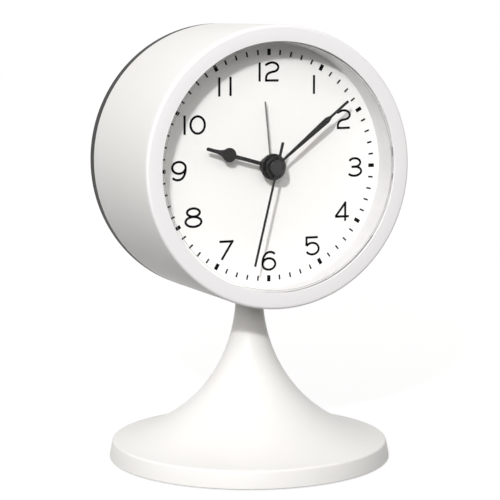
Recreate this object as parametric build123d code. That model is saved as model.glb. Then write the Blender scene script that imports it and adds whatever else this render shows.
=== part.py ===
from build123d import *
import math
import os

# Table alarm clock: a drum case on a trumpet stand, with a quartz alarm movement inside.
# Row frame: origin on the table under the middle of the base, +Z up, the dial faces -Y.
# Drum pieces are drawn in the dial frame: x to the right, y up, z towards the viewer,
# with its origin on the drum's axis above the middle of the base.
# The movement's levels are depths behind the movement plate's back face.

# Fits and cuts
running_gap = 0.05
push_gap = 0.02
seat_gap = 0.1
loose_gap = 0.3
overrun = 1.0
screw_slot_share = 0.22

# Drum case
drum_radius = 50.0
drum_wall = 2.0
drum_axis_height = 107.7
front_reach = 29.5
rear_reach = 31.7
drum_taper = 0.75
drum_edge_round = 0.15
ring_band = 2.0
ring_inset = 0.8
ring_round = 1.3
ring_face_width = 6.5
opening_round = 0.25
lip_thickness = 0.6
sleeve_wall = 2.7
lens_thickness = 1.0
inner_wall_step = 0.2
dial_recess = 12.0
dial_thickness = 0.8
carrier_thickness = 2.0
carrier_inset = 0.6
carrier_screw_count = 4
carrier_screw_radius = 0.8
carrier_screw_length = 8.0
carrier_screw_head_radius = 1.25
carrier_screw_head_height = 1.2

# Stand
foot_height = 0.5
rim_radius = 51.8
rim_taper = 1.4
rim_height = 6.5
rim_round = 0.9
flare_rise_angle = 8.6
flare_reach = 20.1
neck_radius = 5.35
neck_lean_angle = 2.7
neck_reach = 32.4
neck_sink = 1.2
shell_top_wall = 2.2
rim_wall = 4.2
cavity_reach = 16.0
bolt_room_radius = 6.5
bolt_room_reach = 10.0
neck_grip = 23.7
base_plate_inset = 3.4
base_plate_thickness = 1.6
base_screw_count = 3
base_screw_inset = 6.5
base_screw_radius = 1.25
base_screw_length = 5.2
base_screw_head_radius = 2.3
base_screw_head_height = 0.9
base_boss_radius = 3.0
base_boss_height = 4.6
base_screw_angle = 90.0
weight_gap = 2.5
weight_hole_radius = 9.0
weight_thickness = 4.2
foot_ring_inset = 1.0
foot_ring_width = 4.2
foot_ring_thickness = 1.0

# Neck bolt
bolt_radius = 2.5
bolt_head_radius = 4.25
bolt_head_height = 3.2
bolt_socket_across = 4.0
bolt_socket_depth = 2.0
bolt_end_stand_out = 1.2
washer_radius = 5.4
washer_thickness = 1.0
saddle_width = 18.0
saddle_length = 18.0
saddle_thickness = 4.0
nut_across = 8.0
nut_thickness = 4.0

# Rear cover
cover_thickness = 3.0
cover_rim = 1.6
cover_round = 0.4
spigot_wall = 2.0
spigot_depth = 4.0
cover_screw_count = 3
cover_screw_angle = 90.0
cover_screw_inset = 5.5
cover_screw_radius = 1.4
cover_screw_length = 13.0
cover_screw_head_radius = 2.5
cover_screw_head_height = 1.6
cover_boss_radius = 3.6
cover_boss_length = 13.0

# Battery bay in the rear cover
cell_radius = 7.2
cell_length = 50.5
cell_nub_radius = 2.7
cell_nub_length = 1.3
cell_height = -23.5
cell_play = 0.4
contact_thickness = 0.4
contact_spring_depth = 4.7
contact_half_height = 6.0
contact_depth = 13.0
bay_wall = 1.5
door_thickness = 1.6
door_lap = 2.6
door_pin_radius = 0.6
door_pin_length = 1.5
door_grip_radius = 5.0
door_grip_depth = 0.7
door_groove_count = 3

# Alarm switch and buzzer on the rear cover
switch_height = 25.0
switch_travel = 4.0
thumb_width = 4.0
thumb_height = 3.0
thumb_stand_out = 1.2
slider_foot_width = 6.0
slider_foot_height = 4.4
slider_foot_depth = 2.4
switch_wall = 1.6
buzzer_height = 9.0
buzzer_radius = 8.0
buzzer_depth = 7.5
buzzer_wall = 1.4
sound_hole_radius = 0.9
sound_hole_circle = 4.4
sound_hole_count = 6

# Movement casing
movement_size = 56.0
movement_corner = 3.0
movement_plate_thickness = 2.0
movement_depth = 16.0
movement_wall = 1.5
movement_pillar_inset = 3.6
movement_pillar_radius = 2.8
movement_screw_radius = 1.2
movement_screw_head_radius = 2.2
movement_screw_head_height = 1.4
bush_wall = 0.6
bush_stand_out = 0.4
middle_plate_depth = 6.1
middle_plate_thickness = 0.8
middle_plate_half_width = 22.0
middle_plate_top = 18.6
middle_plate_bottom = -13.0
middle_post_inset = 2.0
middle_post_radius = 1.6
plate_screw_radius = 0.7
plate_screw_head_radius = 1.4
plate_screw_head_height = 0.8
plate_screw_length = 4.0

# Arbors, one inside the next
arbor_radius = 0.6
minute_tube_wall = 0.6
hour_pipe_wall = 0.6
alarm_pipe_wall = 0.55
pivot_depth = 0.8
stem_radius = 1.0
minute_post_radius = 0.75

# Wheels: counts of teeth, distances between axes and where each axis lies
cannon_teeth = 10
minute_teeth = 30
minute_pinion_teeth = 8
hour_teeth = 32
time_set_teeth = 10
alarm_teeth = 64
alarm_set_teeth = 16
second_teeth = 60
second_pinion_teeth = 8
third_teeth = 60
third_pinion_teeth = 8
centre_teeth = 64
intermediate_teeth = 36
intermediate_pinion_teeth = 12
rotor_pinion_teeth = 6
motion_distance = 8.0
alarm_distance = 16.0
third_distance = 12.0
intermediate_distance = 13.0
rotor_distance = 7.6
motion_angle = 200.0
alarm_angle = -20.0
third_angle = 40.0
intermediate_angle = 150.0
rotor_angle = 100.0
addendum_share = 0.8
dedendum_share = 1.05
tip_shares = (-0.09, 0.09)
root_shares = (-0.26, 0.26)

# Levels of the wheels, as depths behind the movement plate
wheel_thickness = 1.0
alarm_wheel_depth = 0.6
hour_wheel_depth = 2.4
minute_wheel_depth = 4.5
centre_wheel_depth = 7.6
third_wheel_depth = 9.4
second_wheel_depth = 11.6
intermediate_wheel_depth = 13.3
pinion_lap = 0.3

# Stepping motor
magnet_radius = 3.0
magnet_length = 2.0
magnet_depth = 7.1
stator_thickness = 1.0
stator_hole_radius = 3.4
stator_pole_width = 11.8
stator_pole_height = 10.1
stator_strip_width = 3.0
stator_return_width = 2.6
stator_return_height = 15.4
stator_half_length = 17.5
coil_height = 22.6
coil_radius = 3.5
coil_left = -4.0
coil_right = 14.0
bobbin_wall = 0.6
bobbin_flange = 0.8

# Circuit
board_half_width = 20.0
board_top = -15.0
board_bottom = -25.5
board_thickness = 1.6
board_depth = 8.0
board_post_radius = 1.6
board_post_spread = 17.0
chip_size = 6.0
chip_height = 1.2
chip_place = 0.0
crystal_radius = 1.0
crystal_length = 6.0
crystal_place = 7.0
leaf_width = 3.0
leaf_thickness = 0.2
leaf_gap = 0.4
leaf_end = -9.5
lead_radius = 0.6
lead_bend = 2.0
lead_exit_shares = {"battery": 0.76, "switch": 0.5, "buzzer": 0.26}

# Setting knobs
knob_radius = 6.0
knob_length = 5.5
knob_gap = 0.5
knob_seat_depth = 4.0
knob_flute_count = 18
knob_flute_radius = 0.6
knob_round = 0.6

# Hands: levels in front of the dial, sizes and the angles from twelve o'clock at rest
hand_thickness = 0.5
alarm_hand_level = 2.3
hour_hand_level = 4.0
minute_hand_level = 6.0
second_hand_level = 7.9
alarm_hand_angle = 354.4
hour_hand_angle = 285.6
minute_hand_angle = 51.2
second_hand_angle = 193.7
alarm_hand_length = 22.8
alarm_hand_width = 0.5
alarm_hub_radius = 3.7
hour_hand_length = 25.3
hour_hand_stem_width = 1.0
hour_ball_place = 16.6
hour_ball_radius = 2.4
hour_shoulder_angle = 30.0
hour_tip_width = 1.1
hour_taper_end = 21.8
hour_hub_radius = 4.65
hour_hub_thickness = 1.2
minute_hand_clearance = 7.4
minute_hand_root_width = 0.7
minute_hand_wide_place = 25.4
minute_hand_wide_width = 2.05
minute_hand_tip_place = 27.4
minute_hand_tip_width = 0.8
minute_hub_radius = 3.7
minute_hub_thickness = 1.1
second_hand_clearance = 8.0
second_hand_width = 0.6
second_tail_length = 9.0
second_tail_width = 0.9
second_boss_radius = 1.6
second_boss_length = 0.5
second_cap_radius = 2.75
second_cap_thickness = 1.0
second_cap_chamfer = 0.35
second_cap_dish = 0.25
second_cap_rim = 0.6

# Planes and radii that follow from the sizes above, in the dial frame
drum_inner_radius = drum_radius - drum_wall
ring_radius = drum_radius - ring_inset
opening_radius = drum_radius - ring_face_width
inner_wall_radius = opening_radius - inner_wall_step
cover_screw_circle = drum_radius - cover_screw_inset
minute_hand_length = inner_wall_radius - minute_hand_clearance
second_hand_length = inner_wall_radius - second_hand_clearance
front_plane = front_reach
lens_front = front_plane - lip_thickness
lens_back = lens_front - lens_thickness
dial_front = front_plane - dial_recess
dial_back = dial_front - dial_thickness
carrier_back = dial_back - carrier_thickness
plate_back = carrier_back - movement_plate_thickness
case_back = plate_back - movement_depth - movement_wall
rear_plane = -rear_reach
cover_inside = rear_plane + cover_thickness
sleeve_outer_radius = drum_inner_radius - seat_gap
sleeve_inner_radius = sleeve_outer_radius - sleeve_wall
boss_end = cover_inside + spigot_depth
carrier_screw_circle = (sleeve_outer_radius + sleeve_inner_radius) / 2
drum_underside = drum_axis_height - drum_radius
shoulder_height = drum_underside - neck_grip
rim_bottom = foot_height
plate_top = foot_ring_thickness + base_plate_thickness
rim_top_radius = rim_radius - rim_taper
cavity_radius = rim_top_radius - rim_wall
base_plate_radius = rim_radius - base_plate_inset
base_screw_circle = cavity_radius - base_screw_inset
weight_radius = base_screw_circle - base_boss_radius - weight_gap
foot_ring_outer_radius = base_plate_radius - foot_ring_inset
foot_ring_inner_radius = foot_ring_outer_radius - foot_ring_width

minute_tube_bore = arbor_radius + running_gap
minute_tube_radius = minute_tube_bore + minute_tube_wall
hour_pipe_bore = minute_tube_radius + running_gap
hour_pipe_radius = hour_pipe_bore + hour_pipe_wall
alarm_pipe_bore = hour_pipe_radius + running_gap
alarm_pipe_radius = alarm_pipe_bore + alarm_pipe_wall
bush_bore = alarm_pipe_radius + running_gap
bush_radius = bush_bore + bush_wall
pivot_hole_radius = arbor_radius + running_gap
stem_hole_radius = stem_radius + running_gap
middle_back = middle_plate_depth + middle_plate_thickness

motion_module = 2 * motion_distance / (cannon_teeth + minute_teeth)
hour_module = 2 * motion_distance / (minute_pinion_teeth + hour_teeth)
alarm_module = 2 * alarm_distance / (alarm_teeth + alarm_set_teeth)
second_module = 2 * third_distance / (second_pinion_teeth + third_teeth)
centre_module = 2 * third_distance / (third_pinion_teeth + centre_teeth)
intermediate_module = 2 * intermediate_distance / (second_teeth + intermediate_pinion_teeth)
rotor_module = 2 * rotor_distance / (intermediate_teeth + rotor_pinion_teeth)
set_distance = (minute_teeth + time_set_teeth) * motion_module / 2

bay_half_width = (cell_length + contact_thickness + contact_spring_depth) / 2
bay_half_height = cell_radius + cell_play
bay_top = cell_height + bay_half_height
bay_bottom = cell_height - bay_half_height
door_half_width = bay_half_width + door_lap
door_top = bay_top + door_lap / 2
door_bottom = bay_bottom - door_lap / 2
door_inside = rear_plane + door_thickness
cell_plane = door_inside + seat_gap + cell_play + cell_radius
bay_floor = cell_plane + cell_radius + cell_play
hinge_height = door_bottom + door_thickness / 2
hinge_plane = rear_plane + door_thickness / 2

# The dial frame and the places of the axes in it
dial_frame = Pos(0, 0, drum_axis_height) * Rot(90, 0, 0)


def polar(distance, angle):
    """A point at a distance and an angle from the x axis, in degrees."""
    return (distance * math.cos(math.radians(angle)), distance * math.sin(math.radians(angle)))


def beyond(start, distance, angle):
    """A point at a distance and an angle from another point."""
    step = polar(distance, angle)
    return (start[0] + step[0], start[1] + step[1])


centre_axis = (0, 0)
minute_axis = polar(motion_distance, motion_angle)
time_set_axis = beyond(minute_axis, set_distance, motion_angle)
alarm_set_axis = polar(alarm_distance, alarm_angle)
third_axis = polar(third_distance, third_angle)
intermediate_axis = polar(intermediate_distance, intermediate_angle)
rotor_axis = beyond(intermediate_axis, rotor_distance, rotor_angle)


# Shared shapes
def at(place, shape):
    """A shape moved to a point of the dial."""
    return Pos(place[0], place[1], 0) * shape


def disc(radius, low, high):
    """A cylinder about z between two levels."""
    return Pos(0, 0, (low + high) / 2) * Cylinder(radius, high - low)


def tube(outer, inner, low, high):
    """A hollow cylinder about z between two levels."""
    return disc(outer, low, high) - disc(inner, low - overrun, high + overrun)


def block(left, right, bottom, top, low, high):
    """A box given by its six faces."""
    middle = Pos((left + right) / 2, (bottom + top) / 2, (low + high) / 2)
    return middle * Box(right - left, top - bottom, high - low)


def prism(points, low, high):
    """A flat outline given a thickness between two levels."""
    return Pos(0, 0, low) * extrude(make_face(Polyline(*points, close=True)), amount=high - low, dir=(0, 0, 1))


def turned(outline):
    """A ring turned about z from an outline of (radius, level) points."""
    return revolve(Plane.XZ * make_face(Polyline(*outline, close=True)), Axis.Z)


def circle_of(count, radius, start_angle):
    """Points spread evenly round a circle."""
    return [polar(radius, start_angle + 360 * step / count) for step in range(count)]


def depth(level):
    """The dial frame's level at a depth behind the movement plate."""
    return plate_back - level


def layer(near, far):
    """The two levels, low first, of a layer between two depths behind the movement plate."""
    return depth(far), depth(near)


def gear(teeth, module, near, far, phase):
    """A toothed disc with straight flanks, its teeth narrower than its spaces so that wheels run free."""
    pitch_radius = teeth * module / 2
    tip = pitch_radius + addendum_share * module
    root = pitch_radius - dedendum_share * module
    corners = ((root, root_shares[0]), (tip, tip_shares[0]), (tip, tip_shares[1]), (root, root_shares[1]))
    step = 360 / teeth
    outline = [polar(radius, phase + (tooth + share) * step) for tooth in range(teeth) for radius, share in corners]
    low, high = layer(near, far)
    return prism(outline, low, high)


def mesh_phase(driver_teeth, driver_phase, driven_teeth, direction):
    """The turn that puts a space of the driven wheel opposite the driver's tooth on the line of centres."""
    lead = (driver_phase - direction) * driver_teeth / driven_teeth
    return direction + 180 + 180 / driven_teeth - lead


def screw(radius, length, head_radius, head_height):
    """A pan-head screw along z: the head stands on level 0 towards -z, the shank runs to +z."""
    shank = disc(radius, 0, length)
    head = disc(head_radius, -head_height, 0)
    slot_half = head_radius * screw_slot_share
    slot = block(-head_radius, head_radius, -slot_half, slot_half, -head_height - overrun, -head_height / 2)
    return shank + head - slot


def joined(shapes):
    """Separate solids kept as one group."""
    return Compound(children=list(shapes))


def hand_at(angle, shape):
    """A hand drawn at twelve o'clock, turned clockwise as the viewer sees it."""
    return Rot(0, 0, -angle) * shape


# Stand
def flare(start, start_reach, end, end_reach, lean_angle):
    """The curve of the trumpet: leaves the rim at a low rise and ends near upright at the neck."""
    rise = math.radians(flare_rise_angle)
    lean = math.radians(lean_angle)
    start_pull = (start[0] - start_reach * math.cos(rise), start[1] + start_reach * math.sin(rise))
    end_pull = (end[0] + end_reach * math.sin(lean), end[1] - end_reach * math.cos(lean))
    return Bezier(start, start_pull, end_pull, end)


def along_drum(radius):
    """A cylinder of the drum's axis in the row frame, longer than the stand is wide."""
    reach = rim_radius + overrun
    return dial_frame * disc(radius, -reach, reach)


def drum_outside(clearance):
    """The drum's outside with its slight taper, from the rear cover to the front ring."""
    low = cover_inside + cover_rim
    high = front_plane - ring_band
    rear_radius = drum_radius + clearance
    return turned([(0, low), (rear_radius, low), (rear_radius - drum_taper, high), (0, high)])


def stand_outside():
    rim_top = (rim_top_radius, rim_bottom + rim_height)
    neck_top = (neck_radius, drum_underside + neck_sink)
    outline = [
        Line((0, rim_bottom), (rim_radius, rim_bottom)),
        Line((rim_radius, rim_bottom), rim_top),
        flare(rim_top, flare_reach, neck_top, neck_reach, neck_lean_angle),
        Line(neck_top, (0, neck_top[1])),
        Line((0, neck_top[1]), (0, rim_bottom)),
    ]
    solid = revolve(Plane.XZ * make_face(outline), Axis.Z)
    rim_edge = solid.edges().filter_by(GeomType.CIRCLE).sort_by(lambda edge: abs(edge.radius - rim_top_radius))[0]
    return fillet(rim_edge, rim_round)


def stand_cavity():
    cavity_top = (cavity_radius, rim_bottom + rim_height - shell_top_wall)
    room_top = (bolt_room_radius, shoulder_height)
    outline = [
        Line((0, rim_bottom), (cavity_radius, rim_bottom)),
        Line((cavity_radius, rim_bottom), cavity_top),
        flare(cavity_top, cavity_reach, room_top, bolt_room_reach, neck_lean_angle),
        Line(room_top, (0, shoulder_height)),
        Line((0, shoulder_height), (0, rim_bottom)),
    ]
    return revolve(Plane.XZ * make_face(outline), Axis.Z)


def stand_shell():
    shell = stand_outside() - stand_cavity()
    shell -= disc(base_plate_radius + seat_gap, rim_bottom - overrun, plate_top)
    shell -= disc(bolt_radius + seat_gap, 0, drum_axis_height)
    for place in circle_of(base_screw_count, base_screw_circle, base_screw_angle):
        shell += at(place, disc(base_boss_radius, plate_top, plate_top + base_boss_height))
    for place in circle_of(base_screw_count, base_screw_circle, base_screw_angle):
        shell -= at(place, disc(base_screw_radius, plate_top - overrun, plate_top + base_screw_length))
    return shell - dial_frame * drum_outside(push_gap)


def base_weight():
    return tube(weight_radius, weight_hole_radius, plate_top, plate_top + weight_thickness)


def base_plate():
    plate = disc(base_plate_radius, foot_ring_thickness, plate_top)
    for place in circle_of(base_screw_count, base_screw_circle, base_screw_angle):
        plate -= at(place, disc(base_screw_radius + seat_gap, 0, plate_top + overrun))
        recess = foot_ring_thickness + base_screw_head_height
        plate -= at(place, disc(base_screw_head_radius + seat_gap, 0, recess))
    return plate


def foot_ring():
    return tube(foot_ring_outer_radius, foot_ring_inner_radius, 0, foot_ring_thickness)


def base_screws():
    one = screw(base_screw_radius, base_screw_length, base_screw_head_radius, base_screw_head_height)
    seat = foot_ring_thickness + base_screw_head_height
    return joined(Pos(place[0], place[1], seat) * one
                  for place in circle_of(base_screw_count, base_screw_circle, base_screw_angle))


# Neck bolt
saddle_top = drum_axis_height - drum_inner_radius + saddle_thickness
nut_top = saddle_top + nut_thickness
bolt_seat = shoulder_height - washer_thickness


def neck_washer():
    return tube(washer_radius, bolt_radius + seat_gap, bolt_seat, shoulder_height)


def neck_bolt():
    shank = disc(bolt_radius, bolt_seat, nut_top + bolt_end_stand_out)
    head = disc(bolt_head_radius, bolt_seat - bolt_head_height, bolt_seat)
    socket_low = bolt_seat - bolt_head_height - overrun
    socket_high = bolt_seat - bolt_head_height + bolt_socket_depth
    socket = extrude(RegularPolygon(bolt_socket_across / 2, 6, major_radius=False), amount=socket_high - socket_low)
    return shank + head - Pos(0, 0, socket_low) * socket


def neck_saddle():
    body = block(-saddle_width / 2, saddle_width / 2, -saddle_length / 2, saddle_length / 2,
                 drum_underside, saddle_top)
    body = body & along_drum(drum_inner_radius - push_gap)
    return body - disc(bolt_radius + seat_gap, 0, drum_axis_height)


def neck_nut():
    body = extrude(RegularPolygon(nut_across / 2, 6, major_radius=False), amount=nut_thickness)
    return Pos(0, 0, saddle_top) * body - disc(bolt_radius + push_gap, 0, drum_axis_height)


# Drum case
def case_drum():
    drum = drum_outside(0) - disc(drum_inner_radius, rear_plane, front_plane)
    front_edges = drum.edges().filter_by(GeomType.CIRCLE).group_by(Axis.Z)[-1].sort_by(lambda edge: edge.radius)
    drum = fillet(front_edges[-1], drum_edge_round)
    for place in circle_of(cover_screw_count, cover_screw_circle, cover_screw_angle):
        boss = at(place, disc(cover_boss_radius, boss_end, boss_end + cover_boss_length))
        drum += boss & disc(drum_radius - drum_wall / 2, boss_end, boss_end + cover_boss_length)
    for place in circle_of(cover_screw_count, cover_screw_circle, cover_screw_angle):
        drum -= at(place, disc(cover_screw_radius, boss_end - overrun, boss_end + cover_boss_length - overrun))
    bolt_hole = Rot(90, 0, 0) * disc(bolt_radius + seat_gap, 0, drum_radius + overrun)
    return drum - bolt_hole


def front_ring():
    back = front_plane - ring_band
    outline = [
        (opening_radius, front_plane),
        (ring_radius, front_plane),
        (ring_radius, back),
        (sleeve_outer_radius, back),
        (sleeve_outer_radius, dial_back),
        (sleeve_inner_radius, dial_back),
        (sleeve_inner_radius, lens_front),
        (opening_radius, lens_front),
    ]
    ring = turned(outline)
    front_edges = ring.edges().filter_by(GeomType.CIRCLE).group_by(Axis.Z)[-1].sort_by(lambda edge: edge.radius)
    ring = fillet(front_edges[-1], ring_round)
    front_edges = ring.edges().filter_by(GeomType.CIRCLE).group_by(Axis.Z)[-1].sort_by(lambda edge: edge.radius)
    ring = fillet(front_edges[0], opening_round)
    for place in circle_of(carrier_screw_count, carrier_screw_circle, cover_screw_angle):
        hole_top = dial_back + carrier_screw_length
        ring -= at(place, disc(carrier_screw_radius, dial_back - overrun, hole_top))
    return ring


def lens():
    return disc(sleeve_inner_radius - seat_gap, lens_back, lens_front)


def inner_ring():
    return tube(sleeve_inner_radius - seat_gap, inner_wall_radius, dial_front, lens_back)


def dial():
    return tube(sleeve_inner_radius - seat_gap, bush_radius + seat_gap, dial_back, dial_front)


def movement_corners():
    spread = movement_size / 2 - movement_pillar_inset
    return [(side * spread, end * spread) for side in (-1, 1) for end in (-1, 1)]


def dial_carrier():
    plate = tube(sleeve_outer_radius - carrier_inset, bush_radius + seat_gap, carrier_back, dial_back)
    for place in circle_of(carrier_screw_count, carrier_screw_circle, cover_screw_angle):
        plate -= at(place, disc(carrier_screw_radius + seat_gap, carrier_back - overrun, dial_back + overrun))
    for place in movement_corners():
        plate -= at(place, disc(movement_screw_radius, carrier_back - overrun, dial_back + overrun))
    return plate


def carrier_screws():
    one = screw(carrier_screw_radius, carrier_screw_length, carrier_screw_head_radius, carrier_screw_head_height)
    return joined(Pos(place[0], place[1], carrier_back) * one
                  for place in circle_of(carrier_screw_count, carrier_screw_circle, cover_screw_angle))


# Rear cover and what it carries
switch_half_width = (slider_foot_width + switch_travel) / 2 + loose_gap
switch_half_height = slider_foot_height / 2 + seat_gap
switch_floor = cover_inside + slider_foot_depth + seat_gap
slot_half_width = (thumb_width + switch_travel) / 2 + loose_gap
slot_half_height = thumb_height / 2 + seat_gap
buzzer_place = (0, buzzer_height)
lead_corner = (bay_half_width - contact_thickness - lead_radius - push_gap, bay_top - lead_radius * 2)


def bay_shell():
    return block(-bay_half_width - bay_wall, bay_half_width + bay_wall, bay_bottom - bay_wall, bay_top + bay_wall,
                 cover_inside - overrun, bay_floor + bay_wall)


def bay_room():
    return block(-bay_half_width, bay_half_width, bay_bottom, bay_top, rear_plane - overrun, bay_floor)


def rear_cover():
    body = disc(drum_radius, rear_plane, cover_inside)
    rear_edge = body.edges().filter_by(GeomType.CIRCLE).sort_by(Axis.Z)[0]
    body = fillet(rear_edge, cover_round)
    spigot_radius = drum_inner_radius - seat_gap
    body += tube(drum_radius, spigot_radius - spigot_wall, cover_inside, cover_inside + cover_rim)
    body += tube(spigot_radius, spigot_radius - spigot_wall, cover_inside, boss_end)
    screw_places = circle_of(cover_screw_count, cover_screw_circle, cover_screw_angle)
    for place in screw_places:
        pillar = at(place, disc(cover_boss_radius, cover_inside, boss_end))
        body += pillar & disc(spigot_radius, cover_inside, boss_end)
    body += bay_shell()
    body += at(buzzer_place, tube(buzzer_radius + seat_gap + buzzer_wall, buzzer_radius + seat_gap,
                                  cover_inside, cover_inside + buzzer_depth / 2))
    body -= bay_room()
    recess = seat_gap * 2
    body -= block(-door_half_width - recess, door_half_width + recess, door_bottom - recess, door_top + recess,
                  rear_plane - overrun, door_inside + seat_gap)
    pin_reach = door_half_width + recess + door_pin_length
    pin_hole = Rot(0, 90, 0) * disc(door_pin_radius + running_gap, -pin_reach, pin_reach)
    body -= Pos(0, hinge_height, hinge_plane) * pin_hole
    body -= Pos(0, door_top, rear_plane) * Sphere(door_grip_radius) & disc(
        drum_radius, rear_plane - overrun, rear_plane + door_grip_depth)
    for place in screw_places:
        body -= at(place, disc(cover_screw_radius + seat_gap, rear_plane - overrun, boss_end + overrun))
        head_room = rear_plane + cover_screw_head_height
        body -= at(place, disc(cover_screw_head_radius + seat_gap, rear_plane - overrun, head_room))
    for place in (time_set_axis, alarm_set_axis):
        body -= at(place, disc(stem_hole_radius, rear_plane - overrun, cover_inside + overrun))
    body -= block(-slot_half_width, slot_half_width, switch_height - slot_half_height,
                  switch_height + slot_half_height, rear_plane - overrun, cover_inside + overrun)
    holes = [(0, 0)] + circle_of(sound_hole_count, sound_hole_circle, cover_screw_angle)
    for place in holes:
        spot = (buzzer_place[0] + place[0], buzzer_place[1] + place[1])
        body -= at(spot, disc(sound_hole_radius, rear_plane - overrun, cover_inside + overrun))
    for side in (-1, 1):
        spot = (side * lead_corner[0], lead_corner[1])
        body -= at(spot, disc(lead_radius + seat_gap, bay_floor - overrun, bay_floor + bay_wall + overrun))
    return body


def cover_screws():
    one = screw(cover_screw_radius, cover_screw_length, cover_screw_head_radius, cover_screw_head_height)
    seat = rear_plane + cover_screw_head_height
    return joined(Pos(place[0], place[1], seat) * one
                  for place in circle_of(cover_screw_count, cover_screw_circle, cover_screw_angle))


def battery_door():
    panel = block(-door_half_width, door_half_width, hinge_height, door_top, rear_plane, door_inside)
    edge = Rot(0, 90, 0) * disc(door_thickness / 2, -door_half_width, door_half_width)
    pin_reach = door_half_width + door_pin_length
    pin = Rot(0, 90, 0) * disc(door_pin_radius, -pin_reach, pin_reach)
    door = panel + Pos(0, hinge_height, hinge_plane) * (edge + pin)
    groove_half = door_thickness / 4
    for groove in range(door_groove_count):
        middle = door_top - door_thickness - door_thickness * groove
        door -= block(-door_grip_radius, door_grip_radius, middle - groove_half, middle + groove_half,
                      rear_plane - overrun, rear_plane + door_grip_depth / 2)
    return door


cell_right = bay_half_width - contact_thickness
cell_left = cell_right - cell_length


def battery_cell():
    body = disc(cell_radius, cell_left, cell_right - cell_nub_length)
    nub = disc(cell_nub_radius, cell_right - cell_nub_length, cell_right)
    return Pos(0, cell_height, cell_plane) * (Rot(0, 90, 0) * (body + nub))


def contact_levels():
    return bay_floor - contact_depth, bay_floor


def contact_positive():
    low, high = contact_levels()
    return block(cell_right, bay_half_width, cell_height - contact_half_height, bay_top, low, high)


def contact_negative():
    low, high = contact_levels()
    back = -bay_half_width
    face = back + contact_thickness
    bottom = cell_height - contact_half_height
    plate = block(back, face, bottom, bay_top, low, high)
    top = cell_height + contact_half_height
    spring = [
        (back, bottom),
        (face, bottom),
        (cell_left, cell_height),
        (face, top),
        (back, top),
        (cell_left - contact_thickness * 2, cell_height),
    ]
    return plate + prism(spring, cell_plane - contact_half_height, cell_plane + contact_half_height / 2)


def buzzer():
    body = disc(buzzer_radius, cover_inside, cover_inside + buzzer_depth)
    mouth = disc(sound_hole_radius, cover_inside - overrun, cover_inside + buzzer_depth / 2)
    return at(buzzer_place, body - mouth)


def switch_body():
    outer = block(-switch_half_width - switch_wall, switch_half_width + switch_wall,
                  switch_height - switch_half_height - switch_wall, switch_height + switch_half_height + switch_wall,
                  cover_inside, switch_floor + switch_wall)
    room = block(-switch_half_width, switch_half_width, switch_height - switch_half_height,
                 switch_height + switch_half_height, cover_inside - overrun, switch_floor)
    return outer - room


def alarm_switch():
    off_place = -switch_travel / 2
    foot = block(off_place - slider_foot_width / 2, off_place + slider_foot_width / 2,
                 switch_height - slider_foot_height / 2, switch_height + slider_foot_height / 2,
                 cover_inside + seat_gap, cover_inside + slider_foot_depth)
    thumb = block(off_place - thumb_width / 2, off_place + thumb_width / 2,
                  switch_height - thumb_height / 2, switch_height + thumb_height / 2,
                  rear_plane - thumb_stand_out, cover_inside + seat_gap)
    groove = block(off_place - thumb_stand_out / 4, off_place + thumb_stand_out / 4,
                   switch_height - thumb_height, switch_height + thumb_height,
                   rear_plane - thumb_stand_out * 2, rear_plane - thumb_stand_out / 2)
    return foot + thumb - groove


# Movement casing
board_back = depth(board_depth + board_thickness)
lead_height = (board_top + board_bottom) / 2
lead_exits = {name: board_post_spread * share for name, share in lead_exit_shares.items()}


def movement_plate():
    low, high = plate_back, carrier_back
    plate = extrude(RectangleRounded(movement_size, movement_size, movement_corner), amount=high - low)
    plate = Pos(0, 0, low) * plate
    plate += disc(bush_radius, low, dial_front + bush_stand_out)
    plate -= disc(bush_bore, low - overrun, dial_front + bush_stand_out + overrun)
    for place in middle_posts():
        plate += at(place, disc(middle_post_radius, depth(middle_plate_depth), low))
        plate -= at(place, disc(plate_screw_radius, depth(middle_plate_depth) - overrun, low))
    for side in (-1, 1):
        plate += at((side * board_post_spread, lead_height), disc(board_post_radius, depth(board_depth), low))
    for place in (time_set_axis, alarm_set_axis):
        plate -= at(place, disc(stem_hole_radius, low - overrun, low + pivot_depth + seat_gap))
    for place in movement_corners():
        plate -= at(place, disc(movement_screw_radius + seat_gap, low - overrun, high + overrun))
    return plate


def middle_posts():
    side = middle_plate_half_width - middle_post_inset
    top = middle_plate_top - middle_post_inset
    bottom = middle_plate_bottom + middle_post_inset
    return [(-side, bottom), (side, bottom), (-side, top), (side, top)]


def middle_plate():
    low, high = layer(middle_plate_depth, middle_back)
    plate = block(-middle_plate_half_width, middle_plate_half_width, middle_plate_bottom, middle_plate_top, low, high)
    post_low, post_high = layer(hour_wheel_depth - pinion_lap, middle_back)
    plate += at(minute_axis, disc(minute_post_radius, post_low, post_high))
    plate -= disc(minute_tube_radius + running_gap, low - overrun, high + overrun)
    for place in (third_axis, intermediate_axis, rotor_axis):
        plate -= at(place, disc(pivot_hole_radius, low - overrun, high + overrun))
    for place in (time_set_axis, alarm_set_axis):
        plate -= at(place, disc(stem_hole_radius, low - overrun, high + overrun))
    for place in middle_posts():
        plate -= at(place, disc(plate_screw_radius + seat_gap, low - overrun, high + overrun))
    return plate


def plate_screws():
    one = screw(plate_screw_radius, plate_screw_length, plate_screw_head_radius, plate_screw_head_height)
    return joined(Pos(place[0], place[1], depth(middle_back)) * one for place in middle_posts())


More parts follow.
